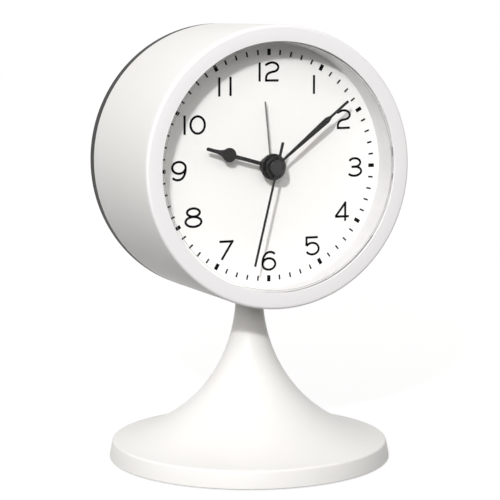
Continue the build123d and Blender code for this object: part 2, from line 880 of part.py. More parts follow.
def movement_case():
    floor = depth(movement_depth)
    outer = extrude(RectangleRounded(movement_size, movement_size, movement_corner), amount=plate_back - case_back)
    body = Pos(0, 0, case_back) * outer
    inside = movement_size / 2 - movement_wall
    body -= block(-inside, inside, -inside, inside, floor, plate_back + overrun)
    for place in movement_corners():
        body += at(place, disc(movement_pillar_radius, floor, plate_back))
    for place in movement_corners():
        body -= at(place, disc(movement_screw_radius + seat_gap, case_back - overrun, plate_back + overrun))
    for place in (centre_axis, third_axis, intermediate_axis, rotor_axis):
        body -= at(place, disc(pivot_hole_radius, floor - pivot_depth - seat_gap, floor + overrun))
    for place in (time_set_axis, alarm_set_axis):
        body -= at(place, disc(stem_hole_radius, case_back - overrun, floor + overrun))
    for spread in lead_exits.values():
        for side in (-1, 1):
            body -= at((side * spread, lead_height), disc(lead_radius + seat_gap, case_back - overrun, floor + overrun))
    return body


def movement_screws():
    one = screw(movement_screw_radius, dial_back - case_back, movement_screw_head_radius, movement_screw_head_height)
    return joined(Pos(place[0], place[1], case_back) * one for place in movement_corners())


# Circuit
def circuit_board():
    low, high = layer(board_depth, board_depth + board_thickness)
    return block(-board_half_width, board_half_width, board_bottom, board_top, low, high)


def controller_chip():
    return block(chip_place - chip_size / 2, chip_place + chip_size / 2, lead_height - chip_size / 2,
                 lead_height + chip_size / 2, board_back - chip_height, board_back)


def quartz_crystal():
    can = Rot(0, 90, 0) * disc(crystal_radius, 0, crystal_length)
    return Pos(crystal_place, board_top - crystal_radius * 2, board_back - crystal_radius - push_gap) * can


def alarm_contact():
    leaf_front = alarm_wheel_depth + wheel_thickness + leaf_gap
    upright_top = board_top
    upright_low, upright_high = layer(leaf_front, board_depth)
    upright = block(-leaf_width / 2, leaf_width / 2, upright_top - leaf_thickness, upright_top, upright_low, upright_high)
    arm_low, arm_high = layer(leaf_front, leaf_front + leaf_thickness)
    arm = block(-leaf_width / 2, leaf_width / 2, upright_top - leaf_thickness, leaf_end, arm_low, arm_high)
    return upright + arm


def lead(points):
    """A thin insulated wire along straight runs joined by bends."""
    route = FilletPolyline(*points, radius=lead_bend)
    start = Plane(origin=points[0], z_dir=Vector(*points[1]) - Vector(*points[0]))
    return sweep(start * Circle(lead_radius), path=route)


def lead_pair(exit_name, run_level, end_spread, end_height, end_level):
    """Two wires from the board, out of the movement's back and on to what they feed."""
    wires = []
    for side in (-1, 1):
        board_end = (side * lead_exits[exit_name], lead_height)
        far_end = (side * end_spread, end_height)
        wires.append(lead([(*board_end, board_back), (*board_end, run_level), (*far_end, run_level),
                           (*far_end, end_level)]))
    return joined(wires)


lead_space = (case_back + bay_wall + bay_floor) / 2


def battery_leads():
    return lead_pair("battery", lead_space, lead_corner[0], lead_corner[1], bay_floor - lead_radius * 2)


def buzzer_leads():
    return lead_pair("buzzer", lead_space - lead_radius, buzzer_radius / 3, buzzer_height, cover_inside + buzzer_depth)


def switch_leads():
    return lead_pair("switch", lead_space + lead_radius * 2, switch_half_width, switch_height, switch_floor + switch_wall)


# Wheels. Each phase puts its teeth into the spaces of the wheel that it runs with.
cannon_phase = motion_angle
minute_phase = mesh_phase(cannon_teeth, cannon_phase, minute_teeth, motion_angle)
minute_pinion_phase = motion_angle + 180
hour_phase = mesh_phase(minute_pinion_teeth, minute_pinion_phase, hour_teeth, motion_angle + 180)
time_set_phase = mesh_phase(minute_teeth, minute_phase, time_set_teeth, motion_angle)
alarm_phase = alarm_angle
alarm_set_phase = mesh_phase(alarm_teeth, alarm_phase, alarm_set_teeth, alarm_angle)
second_pinion_phase = third_angle
third_phase = mesh_phase(second_pinion_teeth, second_pinion_phase, third_teeth, third_angle)
third_pinion_phase = third_angle + 180
centre_phase = mesh_phase(third_pinion_teeth, third_pinion_phase, centre_teeth, third_angle + 180)
second_phase = intermediate_angle
intermediate_pinion_phase = mesh_phase(second_teeth, second_phase, intermediate_pinion_teeth, intermediate_angle)
intermediate_phase = rotor_angle
rotor_phase = mesh_phase(intermediate_teeth, intermediate_phase, rotor_pinion_teeth, rotor_angle)

arbor_front = middle_plate_depth + seat_gap
arbor_rear = movement_depth + pivot_depth
cannon_front = minute_wheel_depth - pinion_lap
cannon_rear = middle_plate_depth - seat_gap


def arbor(near, far):
    low, high = layer(near, far)
    return disc(arbor_radius, low, high)


def rotor():
    near = intermediate_wheel_depth - pinion_lap
    far = intermediate_wheel_depth + wheel_thickness + pinion_lap
    low, high = layer(magnet_depth, magnet_depth + magnet_length)
    body = arbor(arbor_front, arbor_rear) + disc(magnet_radius, low, high)
    return at(rotor_axis, body + gear(rotor_pinion_teeth, rotor_module, near, far, rotor_phase))


def intermediate_wheel():
    far = intermediate_wheel_depth + wheel_thickness
    body = arbor(arbor_front, arbor_rear)
    body += gear(intermediate_pinion_teeth, intermediate_module, second_wheel_depth - pinion_lap,
                 intermediate_wheel_depth, intermediate_pinion_phase)
    body += gear(intermediate_teeth, rotor_module, intermediate_wheel_depth, far, intermediate_phase)
    return at(intermediate_axis, body)


def second_wheel():
    body = disc(arbor_radius, depth(arbor_rear), dial_front + second_hand_level + second_cap_thickness / 2)
    body += gear(second_pinion_teeth, second_module, third_wheel_depth - pinion_lap, second_wheel_depth,
                 second_pinion_phase)
    body += gear(second_teeth, intermediate_module, second_wheel_depth, second_wheel_depth + wheel_thickness,
                 second_phase)
    return body


def third_wheel():
    body = arbor(arbor_front, arbor_rear)
    body += gear(third_pinion_teeth, centre_module, centre_wheel_depth - pinion_lap, third_wheel_depth,
                 third_pinion_phase)
    body += gear(third_teeth, second_module, third_wheel_depth, third_wheel_depth + wheel_thickness, third_phase)
    return at(third_axis, body)


def centre_wheel():
    near = centre_wheel_depth
    far = centre_wheel_depth + wheel_thickness
    body = gear(centre_teeth, centre_module, near, far, centre_phase)
    low, high = layer(near, far)
    return body - disc(minute_tube_radius + running_gap, low - overrun, high + overrun)


def minute_arbor():
    top = dial_front + minute_hand_level + minute_hub_thickness
    low = depth(centre_wheel_depth + wheel_thickness + pinion_lap)
    body = disc(minute_tube_radius, low, top)
    body += gear(cannon_teeth, motion_module, cannon_front, cannon_rear, cannon_phase)
    return body - disc(minute_tube_bore, low - overrun, top + overrun)


def minute_wheel():
    far = minute_wheel_depth + wheel_thickness
    near = hour_wheel_depth - pinion_lap
    body = gear(minute_pinion_teeth, hour_module, near, minute_wheel_depth, minute_pinion_phase)
    body += gear(minute_teeth, motion_module, minute_wheel_depth, far, minute_phase)
    low, high = layer(near, cannon_rear)
    body += disc(minute_post_radius * 2, low, depth(minute_wheel_depth))
    return at(minute_axis, body - disc(minute_post_radius + running_gap, low - overrun, high + overrun))


def hour_wheel():
    far = hour_wheel_depth + wheel_thickness
    top = dial_front + hour_hand_level + hour_hub_thickness / 2
    body = disc(hour_pipe_radius, depth(far), top)
    body += gear(hour_teeth, hour_module, hour_wheel_depth, far, hour_phase)
    return body - disc(hour_pipe_bore, depth(far) - overrun, top + overrun)


def alarm_wheel():
    far = alarm_wheel_depth + wheel_thickness
    top = dial_front + alarm_hand_level + hand_thickness
    body = disc(alarm_pipe_radius, depth(far), top)
    body += gear(alarm_teeth, alarm_module, alarm_wheel_depth, far, alarm_phase)
    return body - disc(alarm_pipe_bore, depth(far) - overrun, top + overrun)


def set_stem(place, teeth, module, near, far, phase):
    """A setting stem from the movement plate to its knob, with its pinion."""
    body = disc(stem_radius, rear_plane - knob_gap - knob_seat_depth, plate_back + pivot_depth)
    return at(place, body + gear(teeth, module, near, far, phase))


def time_set_stem():
    far = minute_wheel_depth + wheel_thickness + pinion_lap
    return set_stem(time_set_axis, time_set_teeth, motion_module, cannon_front, far, time_set_phase)


def alarm_set_stem():
    far = alarm_wheel_depth + wheel_thickness + pinion_lap
    return set_stem(alarm_set_axis, alarm_set_teeth, alarm_module, alarm_wheel_depth - pinion_lap, far, alarm_set_phase)


def set_knob(place):
    """A fluted knob pushed onto the end of its stem."""
    high = rear_plane - knob_gap
    low = high - knob_length
    body = disc(knob_radius, low, high)
    body = fillet(body.edges().filter_by(GeomType.CIRCLE).sort_by(Axis.Z)[0], knob_round)
    for spot in circle_of(knob_flute_count, knob_radius, 0):
        body -= at(spot, disc(knob_flute_radius, low - overrun, high + overrun))
    body -= disc(stem_radius + push_gap, high - knob_seat_depth, high + overrun)
    return at(place, body)


# Stepping motor
def motor_stator():
    low, high = layer(middle_back, middle_back + stator_thickness)
    x, y = rotor_axis
    strip_half = stator_strip_width / 2
    pole_left = x - stator_pole_width / 2
    plate = block(pole_left, x + stator_pole_width / 2, y - stator_pole_height / 2, y + stator_pole_height / 2, low, high)
    plate += block(pole_left, pole_left + stator_strip_width, y, coil_height + strip_half, low, high)
    plate += block(pole_left, stator_half_length, coil_height - strip_half, coil_height + strip_half, low, high)
    plate += block(stator_half_length - stator_strip_width, stator_half_length, stator_return_height,
                   coil_height + strip_half, low, high)
    plate += block(x, stator_half_length, stator_return_height, stator_return_height + stator_return_width, low, high)
    return plate - at(rotor_axis, disc(stator_hole_radius, low - overrun, high + overrun))


def coil_line(shape):
    """A shape about z laid along x through the stator's upper leg."""
    return Pos(0, coil_height, depth(middle_back + stator_thickness / 2)) * (Rot(0, 90, 0) * shape)


bobbin_half_height = stator_strip_width / 2 + seat_gap
bobbin_half_depth = stator_thickness / 2 + seat_gap
bobbin_radius = math.hypot(bobbin_half_height, bobbin_half_depth) + bobbin_wall


def coil_bobbin():
    core = disc(bobbin_radius, coil_left, coil_right)
    core += disc(coil_radius, coil_left, coil_left + bobbin_flange)
    core += disc(coil_radius, coil_right - bobbin_flange, coil_right)
    slot = block(-bobbin_half_depth, bobbin_half_depth, -bobbin_half_height, bobbin_half_height,
                 coil_left - overrun, coil_right + overrun)
    return coil_line(core - slot)


def motor_coil():
    low = coil_left + bobbin_flange
    high = coil_right - bobbin_flange
    return coil_line(tube(coil_radius - bobbin_wall / 2, bobbin_radius, low, high))


# Hands, drawn pointing to twelve
def alarm_hand():
    low = dial_front + alarm_hand_level
    high = low + hand_thickness
    half = alarm_hand_width / 2
    body = disc(alarm_hub_radius, low, high) + block(-half, half, 0, alarm_hand_length, low, high)
    return hand_at(alarm_hand_angle, body - disc(alarm_pipe_radius + push_gap, low - overrun, high + overrun))


def hour_hand():
    low = dial_front + hour_hand_level
    high = low + hand_thickness
    stem = hour_hand_stem_width / 2
    tip = hour_tip_width / 2
    blade = block(-stem, stem, 0, hour_ball_place, low, high)
    blade += Pos(0, hour_ball_place, 0) * disc(hour_ball_radius, low, high)
    blade += Pos(0, hour_hand_length - tip, 0) * disc(tip, low, high)
    reach, rise = polar(hour_ball_radius, hour_shoulder_angle)
    shoulder = hour_ball_place + rise
    side = Bezier((reach, shoulder), (tip, hour_taper_end - hour_ball_radius), (tip, hour_taper_end),
                  (tip, hour_hand_length - tip))
    outline = [
        side,
        Line((tip, hour_hand_length - tip), (0, hour_hand_length - tip)),
        Line((0, hour_hand_length - tip), (0, shoulder)),
        Line((0, shoulder), (reach, shoulder)),
    ]
    half_taper = Pos(0, 0, low) * extrude(make_face(outline), amount=high - low, dir=(0, 0, 1))
    blade += half_taper
    blade += mirror(half_taper, about=Plane.YZ)
    hub = disc(hour_hub_radius, low, low + hour_hub_thickness)
    bore = disc(hour_pipe_radius + push_gap, low - overrun, low + hour_hub_thickness / 2)
    bore += disc(hour_pipe_bore, low - overrun, low + hour_hub_thickness + overrun)
    return hand_at(hour_hand_angle, blade + hub - bore)


def minute_hand():
    low = dial_front + minute_hand_level
    high = low + hand_thickness
    root = minute_hand_root_width / 2
    wide = minute_hand_wide_width / 2
    tip = minute_hand_tip_width / 2
    right_side = [(root, 0), (wide, minute_hand_wide_place), (tip, minute_hand_tip_place), (tip, minute_hand_length)]
    left_side = [(-x, y) for x, y in reversed(right_side)]
    blade = prism(right_side + left_side, low, high)
    hub = disc(minute_hub_radius, low, low + minute_hub_thickness)
    bore = disc(minute_tube_radius + push_gap, low - overrun, low + minute_hub_thickness + overrun)
    return hand_at(minute_hand_angle, blade + hub - bore)


def second_hand():
    low = dial_front + second_hand_level
    high = low + hand_thickness
    half = second_hand_width / 2
    tail = second_tail_width / 2
    blade = block(-half, half, 0, second_hand_length, low, high)
    blade += block(-tail, tail, tail - second_tail_length, 0, low, high)
    blade += Pos(0, tail - second_tail_length, 0) * disc(tail, low, high)
    cap = disc(second_cap_radius, low, low + second_cap_thickness)
    cap = chamfer(cap.edges().filter_by(GeomType.CIRCLE).sort_by(Axis.Z)[-1], second_cap_chamfer)
    cap_front = low + second_cap_thickness
    cap -= disc(second_cap_radius - second_cap_rim, cap_front - second_cap_dish, cap_front + overrun)
    cap += disc(second_boss_radius, low - second_boss_length, low)
    bore = disc(arbor_radius + push_gap, low - overrun, low + second_cap_thickness / 2)
    return hand_at(second_hand_angle, blade + cap - bore)


# Every node, first those of the stand in the row frame, then those in the dial frame
stand_nodes = {
    "stand_shell": stand_shell, "base_weight": base_weight, "base_plate": base_plate, "base_screws": base_screws,
    "foot_ring": foot_ring, "neck_bolt": neck_bolt, "neck_washer": neck_washer, "neck_saddle": neck_saddle,
    "neck_nut": neck_nut,
}
drum_nodes = {
    "case_drum": case_drum, "front_ring": front_ring, "lens": lens, "inner_ring": inner_ring, "dial": dial,
    "dial_carrier": dial_carrier, "carrier_screws": carrier_screws, "rear_cover": rear_cover,
    "cover_screws": cover_screws, "battery_door": battery_door, "battery_cell": battery_cell,
    "contact_positive": contact_positive, "contact_negative": contact_negative, "buzzer": buzzer,
    "switch_body": switch_body, "alarm_switch": alarm_switch, "movement_plate": movement_plate,
    "middle_plate": middle_plate, "plate_screws": plate_screws, "movement_case": movement_case,
    "movement_screws": movement_screws, "circuit_board": circuit_board, "controller_chip": controller_chip,
    "quartz_crystal": quartz_crystal, "alarm_contact": alarm_contact, "battery_leads": battery_leads,
    "buzzer_leads": buzzer_leads, "switch_leads": switch_leads, "rotor": rotor,
    "intermediate_wheel": intermediate_wheel, "second_wheel": second_wheel, "third_wheel": third_wheel,
    "centre_wheel": centre_wheel, "minute_arbor": minute_arbor, "minute_wheel": minute_wheel,
    "hour_wheel": hour_wheel, "alarm_wheel": alarm_wheel, "time_set_stem": time_set_stem,
    "alarm_set_stem": alarm_set_stem, "motor_stator": motor_stator, "coil_bobbin": coil_bobbin,
    "motor_coil": motor_coil, "alarm_hand": alarm_hand, "hour_hand": hour_hand, "minute_hand": minute_hand,
    "second_hand": second_hand,
    "time_set_knob": lambda: set_knob(time_set_axis), "alarm_set_knob": lambda: set_knob(alarm_set_axis),
}

os.makedirs("parts", exist_ok=True)
for node, make in stand_nodes.items():
    export_step(make(), f"parts/{node}.step")
for node, make in drum_nodes.items():
    export_step(dial_frame * make(), f"parts/{node}.step")
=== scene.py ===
# Table alarm clock: white drum on a trumpet stand, printed dial, four hands, black rear cover.
# Sizes and places are in millimetres and become metres when a mesh is made.
import math

import bmesh
import bpy
import numpy as np
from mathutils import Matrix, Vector


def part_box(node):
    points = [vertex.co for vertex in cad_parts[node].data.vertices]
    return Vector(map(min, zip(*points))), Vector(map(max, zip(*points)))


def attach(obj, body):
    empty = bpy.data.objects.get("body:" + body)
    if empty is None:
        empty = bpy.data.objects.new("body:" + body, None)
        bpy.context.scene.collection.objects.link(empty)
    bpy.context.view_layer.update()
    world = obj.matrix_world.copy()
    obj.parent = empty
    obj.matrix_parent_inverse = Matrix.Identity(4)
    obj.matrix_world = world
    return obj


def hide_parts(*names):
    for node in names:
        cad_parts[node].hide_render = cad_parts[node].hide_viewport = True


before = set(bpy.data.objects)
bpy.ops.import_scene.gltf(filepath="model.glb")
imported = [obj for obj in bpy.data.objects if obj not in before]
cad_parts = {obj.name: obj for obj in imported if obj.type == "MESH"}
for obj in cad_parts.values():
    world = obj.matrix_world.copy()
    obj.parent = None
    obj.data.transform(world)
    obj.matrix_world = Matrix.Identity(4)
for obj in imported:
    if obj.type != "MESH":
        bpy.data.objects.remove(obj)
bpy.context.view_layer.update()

MM = 0.001


def box_mm(node):
    """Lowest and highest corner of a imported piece, in millimetres."""
    low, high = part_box(node)
    return np.array(low) / MM, np.array(high) / MM


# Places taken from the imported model. A reach is measured towards the viewer from the drum's middle.
ring_low, ring_high = box_mm("front_ring")
drum_low, drum_high = box_mm("case_drum")
lens_low, lens_high = box_mm("lens")
dial_low, dial_high = box_mm("dial")
stand_low, stand_high = box_mm("stand_shell")
_, plate_high = box_mm("base_plate")
_, cover_high = box_mm("rear_cover")
axis_height = (ring_low[2] + ring_high[2]) / 2
drum_radius = drum_high[0]
ring_radius = ring_high[0]
ring_front = -ring_low[1]
sleeve_back = -ring_high[1]
band_back = -drum_low[1]
drum_back = -drum_high[1]
lens_front = -lens_low[1]
lens_back = -lens_high[1]
lens_radius = lens_high[0]
dial_front = -dial_low[1]
dial_back = -dial_high[1]
cover_back = cover_high[1]
rim_bottom = stand_low[2]

# Case, with the gap round a seated piece and the inner and outer radius of the grey line on the lens,
# painted shade that stands in for the dark shadow gap just inside the bezel's opening
drum_wall = 2.0
drum_taper = 0.75
drum_edge_round = 0.15
edge_break = 0.15
seat_gap = 0.1
ring_round = 1.05
opening_inset = 6.5
opening_radius = drum_radius - opening_inset
opening_round = 0.15
inner_wall_step = 0.2
inner_wall_radius = opening_radius - inner_wall_step
sleeve_outer_radius = drum_radius - drum_wall - seat_gap
sleeve_inner_radius = lens_radius + seat_gap
dial_hole_radius = 3.25
opening_shade_line = (42.55, 42.66)

# Stand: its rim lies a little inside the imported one's, where the photograph has it
rim_trim = 0.5
rim_radius = stand_high[0] - rim_trim
rim_taper = 1.16
rim_height = 6.3
rim_round = 0.9
rim_foot_round = 0.35
flare_rise = math.radians(8.23)
flare_reach = 20.09
flare_start_share = 0.012
neck_radius = 4.96
neck_lean = math.radians(1.63)
neck_reach = 31.93
neck_sink = 1.2
cavity_wall = 3.94
cavity_ceiling = 2.0
cavity_reach = 16.0
bolt_hole_radius = 2.6
bolt_room_radius = 6.5
bolt_room_reach = 10.0
shoulder_height = 34.0

# Dial print
print_thickness = 0.04
stroke_width = 0.82
mark_radius = 39.8
hour_block = (1.30, 2.25)
minute_tick = (0.60, 1.8)

# Hands: blades and the share of width left at their ends, hubs and what is inside them, and the clockwise
# turn from twelve at rest
blade_thickness = 0.5
blade_break = 0.12
blade_root = 1.0
blade_end = 0.2
blade_end_share = 0.7
needle_end_share = 0.6
hour_hub_radius = 4.65
minute_hub_radius = 3.7
alarm_ring_radius = 3.7
hub_back_round = 0.1
hub_front_round = 0.3
minute_tube_radius = 1.25
hour_pipe_radius = 1.9
alarm_pipe_radius = 2.5
arbor_radius = 0.6
push_gap = 0.02
running_gap = 0.05
hour_turn = 285.6
minute_turn = 51.2
second_turn = 193.7
alarm_turn = 354.4

# Camera as the photograph was taken, and the key light by the shadows on the dial
view_turn = math.radians(-22.42)
view_rise = math.radians(7.17)
view_distance = 617.74
view_lens = 122.57
view_aim = 0.28
view_aim_height = 75.94
key_turn = math.radians(-32.2)
key_away = 800.0
key_height = 487.0
key_size = 24.0
key_energy = 18.6

# Soft light: where it is brightest and the power by which it gathers there, and bands of height z from start
# to end with the light around and ahead, each fading over a height either side of its edges
soft_turn = math.radians(-45)
soft_power = 2.0
soft_bands = ((0.20, 0.50, 0.95, 2.80), (0.50, 0.82, 0.70, 2.30))
band_fade = 0.07

# Floor: its reach, how far it lies below the feet, its glow where it is seen, and its greys under light
floor_half = 6000.0
floor_drop = 0.05
floor_glow = 0.84
floor_lit = (0.22, 0.22, 0.22, 1.0)
floor_bounce = (0.05, 0.05, 0.05, 1.0)

# Steps of a corner's round, of full turns, of the stand's two curves and of the hour hand's outline
ROUND_STEPS = 9
TURN_STEPS = 256
HUB_STEPS = 96
KNOB_STEPS = 288
FLARE_STEPS = 140
CAVITY_STEPS = 48
TAPER_STEPS = 60
BLADE_STEPS = 150
SHARP_ANGLE = math.radians(32)
MERGE_DISTANCE = 1e-7


# Curves and outlines
def unit(vectors):
    """Vectors divided by their length."""
    return vectors / np.linalg.norm(vectors, axis=-1, keepdims=True)


def rounded(corners):
    """Closed outline of (x, y, round) corners, each an arc of that radius touching both its sides."""
    corners = np.array(corners, float)
    here = corners[:, :2]
    before = unit(np.roll(here, 1, axis=0) - here)
    after = unit(np.roll(here, -1, axis=0) - here)
    half = np.arccos(np.clip((before * after).sum(axis=1, keepdims=True), -1, 1)) / 2
    cut = corners[:, 2:] / np.tan(half)
    middle = unit(before + after) * corners[:, 2:] / np.sin(half)
    start = (before * cut - middle)[:, None]
    end = (after * cut - middle)[:, None]
    swing = (np.pi - 2 * half)[:, None]
    share = np.linspace(0, 1, ROUND_STEPS)[None, :, None]
    arcs = (start * np.sin((1 - share) * swing) + end * np.sin(share * swing)) / np.sin(swing)
    return ((here + middle)[:, None] + arcs).reshape(-1, 2)


def bezier(start, start_pull, end_pull, end, shares):
    """Cubic curve: four points weighted by the Bernstein polynomials of each share from 0 to 1."""
    t = np.asarray(shares)[:, None]
    s = 1 - t
    corners = [np.array(point, float) for point in (start, start_pull, end_pull, end)]
    weights = (s ** 3, 3 * s ** 2 * t, 3 * s * t ** 2, t ** 3)
    return sum(weight * corner for weight, corner in zip(weights, corners))


def oval(centre, reach, start, end, steps=49):
    """Part of an ellipse from one angle to another, in degrees anticlockwise from the right."""
    angle = np.radians(np.linspace(start, end, steps))
    return np.stack([centre[0] + reach[0] * np.cos(angle), centre[1] + reach[1] * np.sin(angle)], axis=-1)


def line(*points):
    """A straight stroke through its points."""
    return np.array(points, float)


# Surfaces: each function gives points and faces
def grid_faces(rows, columns):
    """Quads between neighbours of a grid that closes on itself both ways, the closing row last."""
    row = np.arange(rows)[:, None]
    column = np.arange(columns)[None, :]
    next_row = (row + 1) % rows
    next_column = (column + 1) % columns
    corners = [row * columns + column, row * columns + next_column,
               next_row * columns + next_column, next_row * columns + column]
    return np.stack(corners, axis=-1).reshape(-1, 4)


def turned(profile, steps=TURN_STEPS):
    """A closed profile of (radius, level) carried round its axis: (radius sin a, radius cos a, level)."""
    angle = np.linspace(0, 2 * np.pi, steps, endpoint=False)
    radius = profile[:, :1]
    level = np.broadcast_to(profile[:, 1:], (len(profile), steps))
    points = np.stack([radius * np.sin(angle), radius * np.cos(angle), level], axis=-1)
    return points.reshape(-1, 3), grid_faces(len(profile), steps).tolist()


def ribbon(path, half_width, section):
    """A section carried along a flat path: a (side, inset, level) point of it lies side times (half width
    less inset) to the right of the path, at that level. A path that ends where it starts is closed."""
    closed = np.allclose(path[0], path[-1])
    if closed:
        path = path[:-1]
        forward = unit(np.roll(path, -1, axis=0) - np.roll(path, 1, axis=0))
    else:
        forward = unit(np.gradient(path, axis=0))
    across = np.stack([forward[:, 1], -forward[:, 0]], axis=-1)
    side, inset, level = np.array(section, float).T
    offset = side * (np.broadcast_to(half_width, len(path))[:, None] - inset)
    flat = path[:, None] + offset[..., None] * across[:, None]
    points = np.concatenate([flat, np.broadcast_to(level[None, :, None], offset.shape + (1,))], axis=-1)
    rows, columns = offset.shape
    faces = grid_faces(rows, columns).tolist()
    if not closed:
        faces = faces[:(rows - 1) * columns]
        faces.append(list(range(columns)))
        faces.append(list(range((rows - 1) * columns, rows * columns)))
    return points.reshape(-1, 3), faces


def slab(low, high):
    """Square section of a printed stroke between two levels."""
    return [(-1, 0, low), (1, 0, low), (1, 0, high), (-1, 0, high)]


def blade(low, high, edge):
    """Section of a pressed hand: flat back, front edges broken."""
    side = high - edge
    return [(-1, 0, low), (1, 0, low), (1, 0, side), (1, edge, high), (-1, edge, high), (-1, 0, side)]


def together(*surfaces):
    """Several surfaces as one: their points in a row and their faces counted on."""
    points = np.concatenate([surface[0] for surface in surfaces])
    starts = np.cumsum([0] + [len(surface[0]) for surface in surfaces])
    faces = []
    for start, surface in zip(starts, surfaces):
        faces += [[start + corner for corner in face] for face in surface[1]]
    return points, faces


# From a piece's own coordinates to the shared frame
def on_front(points):
    """Right, up and towards the viewer, from the middle of the drum."""
    right, up, reach = points.T
    return np.stack([right, -reach, axis_height + up], axis=-1)


def on_back(points):
    """Right and up as seen from behind, and out of the rear cover's face."""
    right, up, out = points.T
    return np.stack([-right, cover_back + out, axis_height + up], axis=-1)


def clockwise(points, degrees):
    """Turned about the drum's axis the way a hand goes."""
    turn = math.radians(degrees)
    right, up, reach = points.T
    return np.stack([right * math.cos(turn) + up * math.sin(turn),
                     up * math.cos(turn) - right * math.sin(turn), reach], axis=-1)


def put(name, points, faces, finish, body, slot, *stands_for):
    """Makes a piece at its place, its doubles merged and faces outwards, and lets it ride on its body."""
    mesh = bpy.data.meshes.new(name)
    mesh.from_pydata((points * MM).tolist(), [], faces)
    shell = bmesh.new()
    shell.from_mesh(mesh)
    bmesh.ops.remove_doubles(shell, verts=shell.verts, dist=MERGE_DISTANCE)
    bmesh.ops.recalc_face_normals(shell, faces=shell.faces)
    shell.to_mesh(mesh)
    shell.free()
    mesh.polygons.foreach_set("use_smooth", np.ones(len(mesh.polygons), bool))
    mesh.set_sharp_from_angle(angle=SHARP_ANGLE)
    mesh.materials.append(finish)
    piece = bpy.data.objects.new(name, mesh)
    bpy.context.scene.collection.objects.link(piece)
    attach(piece, body)
    if stands_for:
        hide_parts(*stands_for)


# Materials. A colour mix has its share in input 0, its colours in inputs 6 and 7 and its tint in output 2.
def colour(code):
    """An sRGB hex value as a linear colour."""
    parts = np.array([int(code[place:place + 2], 16) for place in (1, 3, 5)]) / 255
    linear = np.where(parts <= 0.04045, parts / 12.92, ((parts + 0.055) / 1.055) ** 2.4)
    return (*linear.tolist(), 1.0)


def per_mm(size):
    """Scale of a pattern whose features are this many millimetres apart."""
    return 1 / (size * MM)


def add_node(tree, kind, settings, inputs):
    """Adds a node, sets its own settings, then links each input given as a socket and sets the others."""
    node = tree.nodes.new(kind)
    for name, value in settings.items():
        setattr(node, name, value)
    for name, value in inputs.items():
        if isinstance(value, bpy.types.NodeSocket):
            tree.links.new(value, node.inputs[name])
        else:
            node.inputs[name].default_value = value
    return node


def new_finish(name):
    """An empty material with its output, and where its patterns are measured."""
    finish = bpy.data.materials.new(name)
    finish.use_nodes = True
    tree = finish.node_tree
    tree.nodes.clear()
    output = add_node(tree, "ShaderNodeOutputMaterial", {}, {})
    place = add_node(tree, "ShaderNodeTexCoord", {}, {}).outputs["Object"]
    return finish, tree, output, place


def moulded(name, pale, deep, roughness, grain, depth, ior=1.53, cloud=14.0):
    """Moulded plastic: slow clouds between two near tints, and the tool's fine grain in gloss and relief."""
    finish, tree, output, place = new_finish(name)
    spread = 0.06
    clouds = add_node(tree, "ShaderNodeTexNoise", {},
                      {"Vector": place, "Scale": per_mm(cloud), "Detail": 2.0})
    tint = add_node(tree, "ShaderNodeMix", {"data_type": "RGBA"},
                    {0: clouds.outputs["Fac"], 6: colour(pale), 7: colour(deep)})
    grains = add_node(tree, "ShaderNodeTexNoise", {},
                      {"Vector": place, "Scale": per_mm(grain), "Detail": 3.0})
    gloss = add_node(tree, "ShaderNodeMapRange", {},
                     {"Value": grains.outputs["Fac"],
                      "To Min": roughness - spread, "To Max": roughness + spread})
    relief = add_node(tree, "ShaderNodeBump", {}, {"Height": grains.outputs["Fac"], "Distance": depth * MM})
    skin = add_node(tree, "ShaderNodeBsdfPrincipled", {},
                    {"Base Color": tint.outputs[2], "Roughness": gloss.outputs["Result"],
                     "Normal": relief.outputs["Normal"], "IOR": ior})
    tree.links.new(skin.outputs["BSDF"], output.inputs["Surface"])
    return finish


def metal(name, pale, deep, roughness, streak, stretch):
    """Bare or plated metal: streaks drawn out along one way by rolling or turning, in tint and in gloss."""
    finish, tree, output, place = new_finish(name)
    spread = 0.08
    drawn = add_node(tree, "ShaderNodeMapping", {}, {"Vector": place, "Scale": stretch})
    streaks = add_node(tree, "ShaderNodeTexNoise", {},
                       {"Vector": drawn.outputs["Vector"], "Scale": per_mm(streak), "Detail": 3.0})
    tint = add_node(tree, "ShaderNodeMix", {"data_type": "RGBA"},
                    {0: streaks.outputs["Fac"], 6: colour(pale), 7: colour(deep)})
    gloss = add_node(tree, "ShaderNodeMapRange", {},
                     {"Value": streaks.outputs["Fac"],
                      "To Min": roughness - spread, "To Max": roughness + spread})
    skin = add_node(tree, "ShaderNodeBsdfPrincipled", {},
                    {"Base Color": tint.outputs[2], "Roughness": gloss.outputs["Result"], "Metallic": 1.0})
    tree.links.new(skin.outputs["BSDF"], output.inputs["Surface"])
    return finish


def dial_card():
    """White coated card: matt, with the paper's fibres just felt in its tint and relief."""
    finish, tree, output, place = new_finish("coated_white_card")
    drawn = add_node(tree, "ShaderNodeMapping", {}, {"Vector": place, "Scale": (1.0, 1.0, 0.35)})
    fibres = add_node(tree, "ShaderNodeTexNoise", {},
                      {"Vector": drawn.outputs["Vector"], "Scale": per_mm(0.5), "Detail": 4.0})
    tint = add_node(tree, "ShaderNodeMix", {"data_type": "RGBA"},
                    {0: fibres.outputs["Fac"], 6: colour("#fefefc"), 7: colour("#fcfbf8")})
    relief = add_node(tree, "ShaderNodeBump", {}, {"Height": fibres.outputs["Fac"], "Distance": 0.004 * MM})
    skin = add_node(tree, "ShaderNodeBsdfPrincipled", {},
                    {"Base Color": tint.outputs[2], "Roughness": 0.62, "Normal": relief.outputs["Normal"],
                     "IOR": 1.45})
    tree.links.new(skin.outputs["BSDF"], output.inputs["Surface"])
    return finish


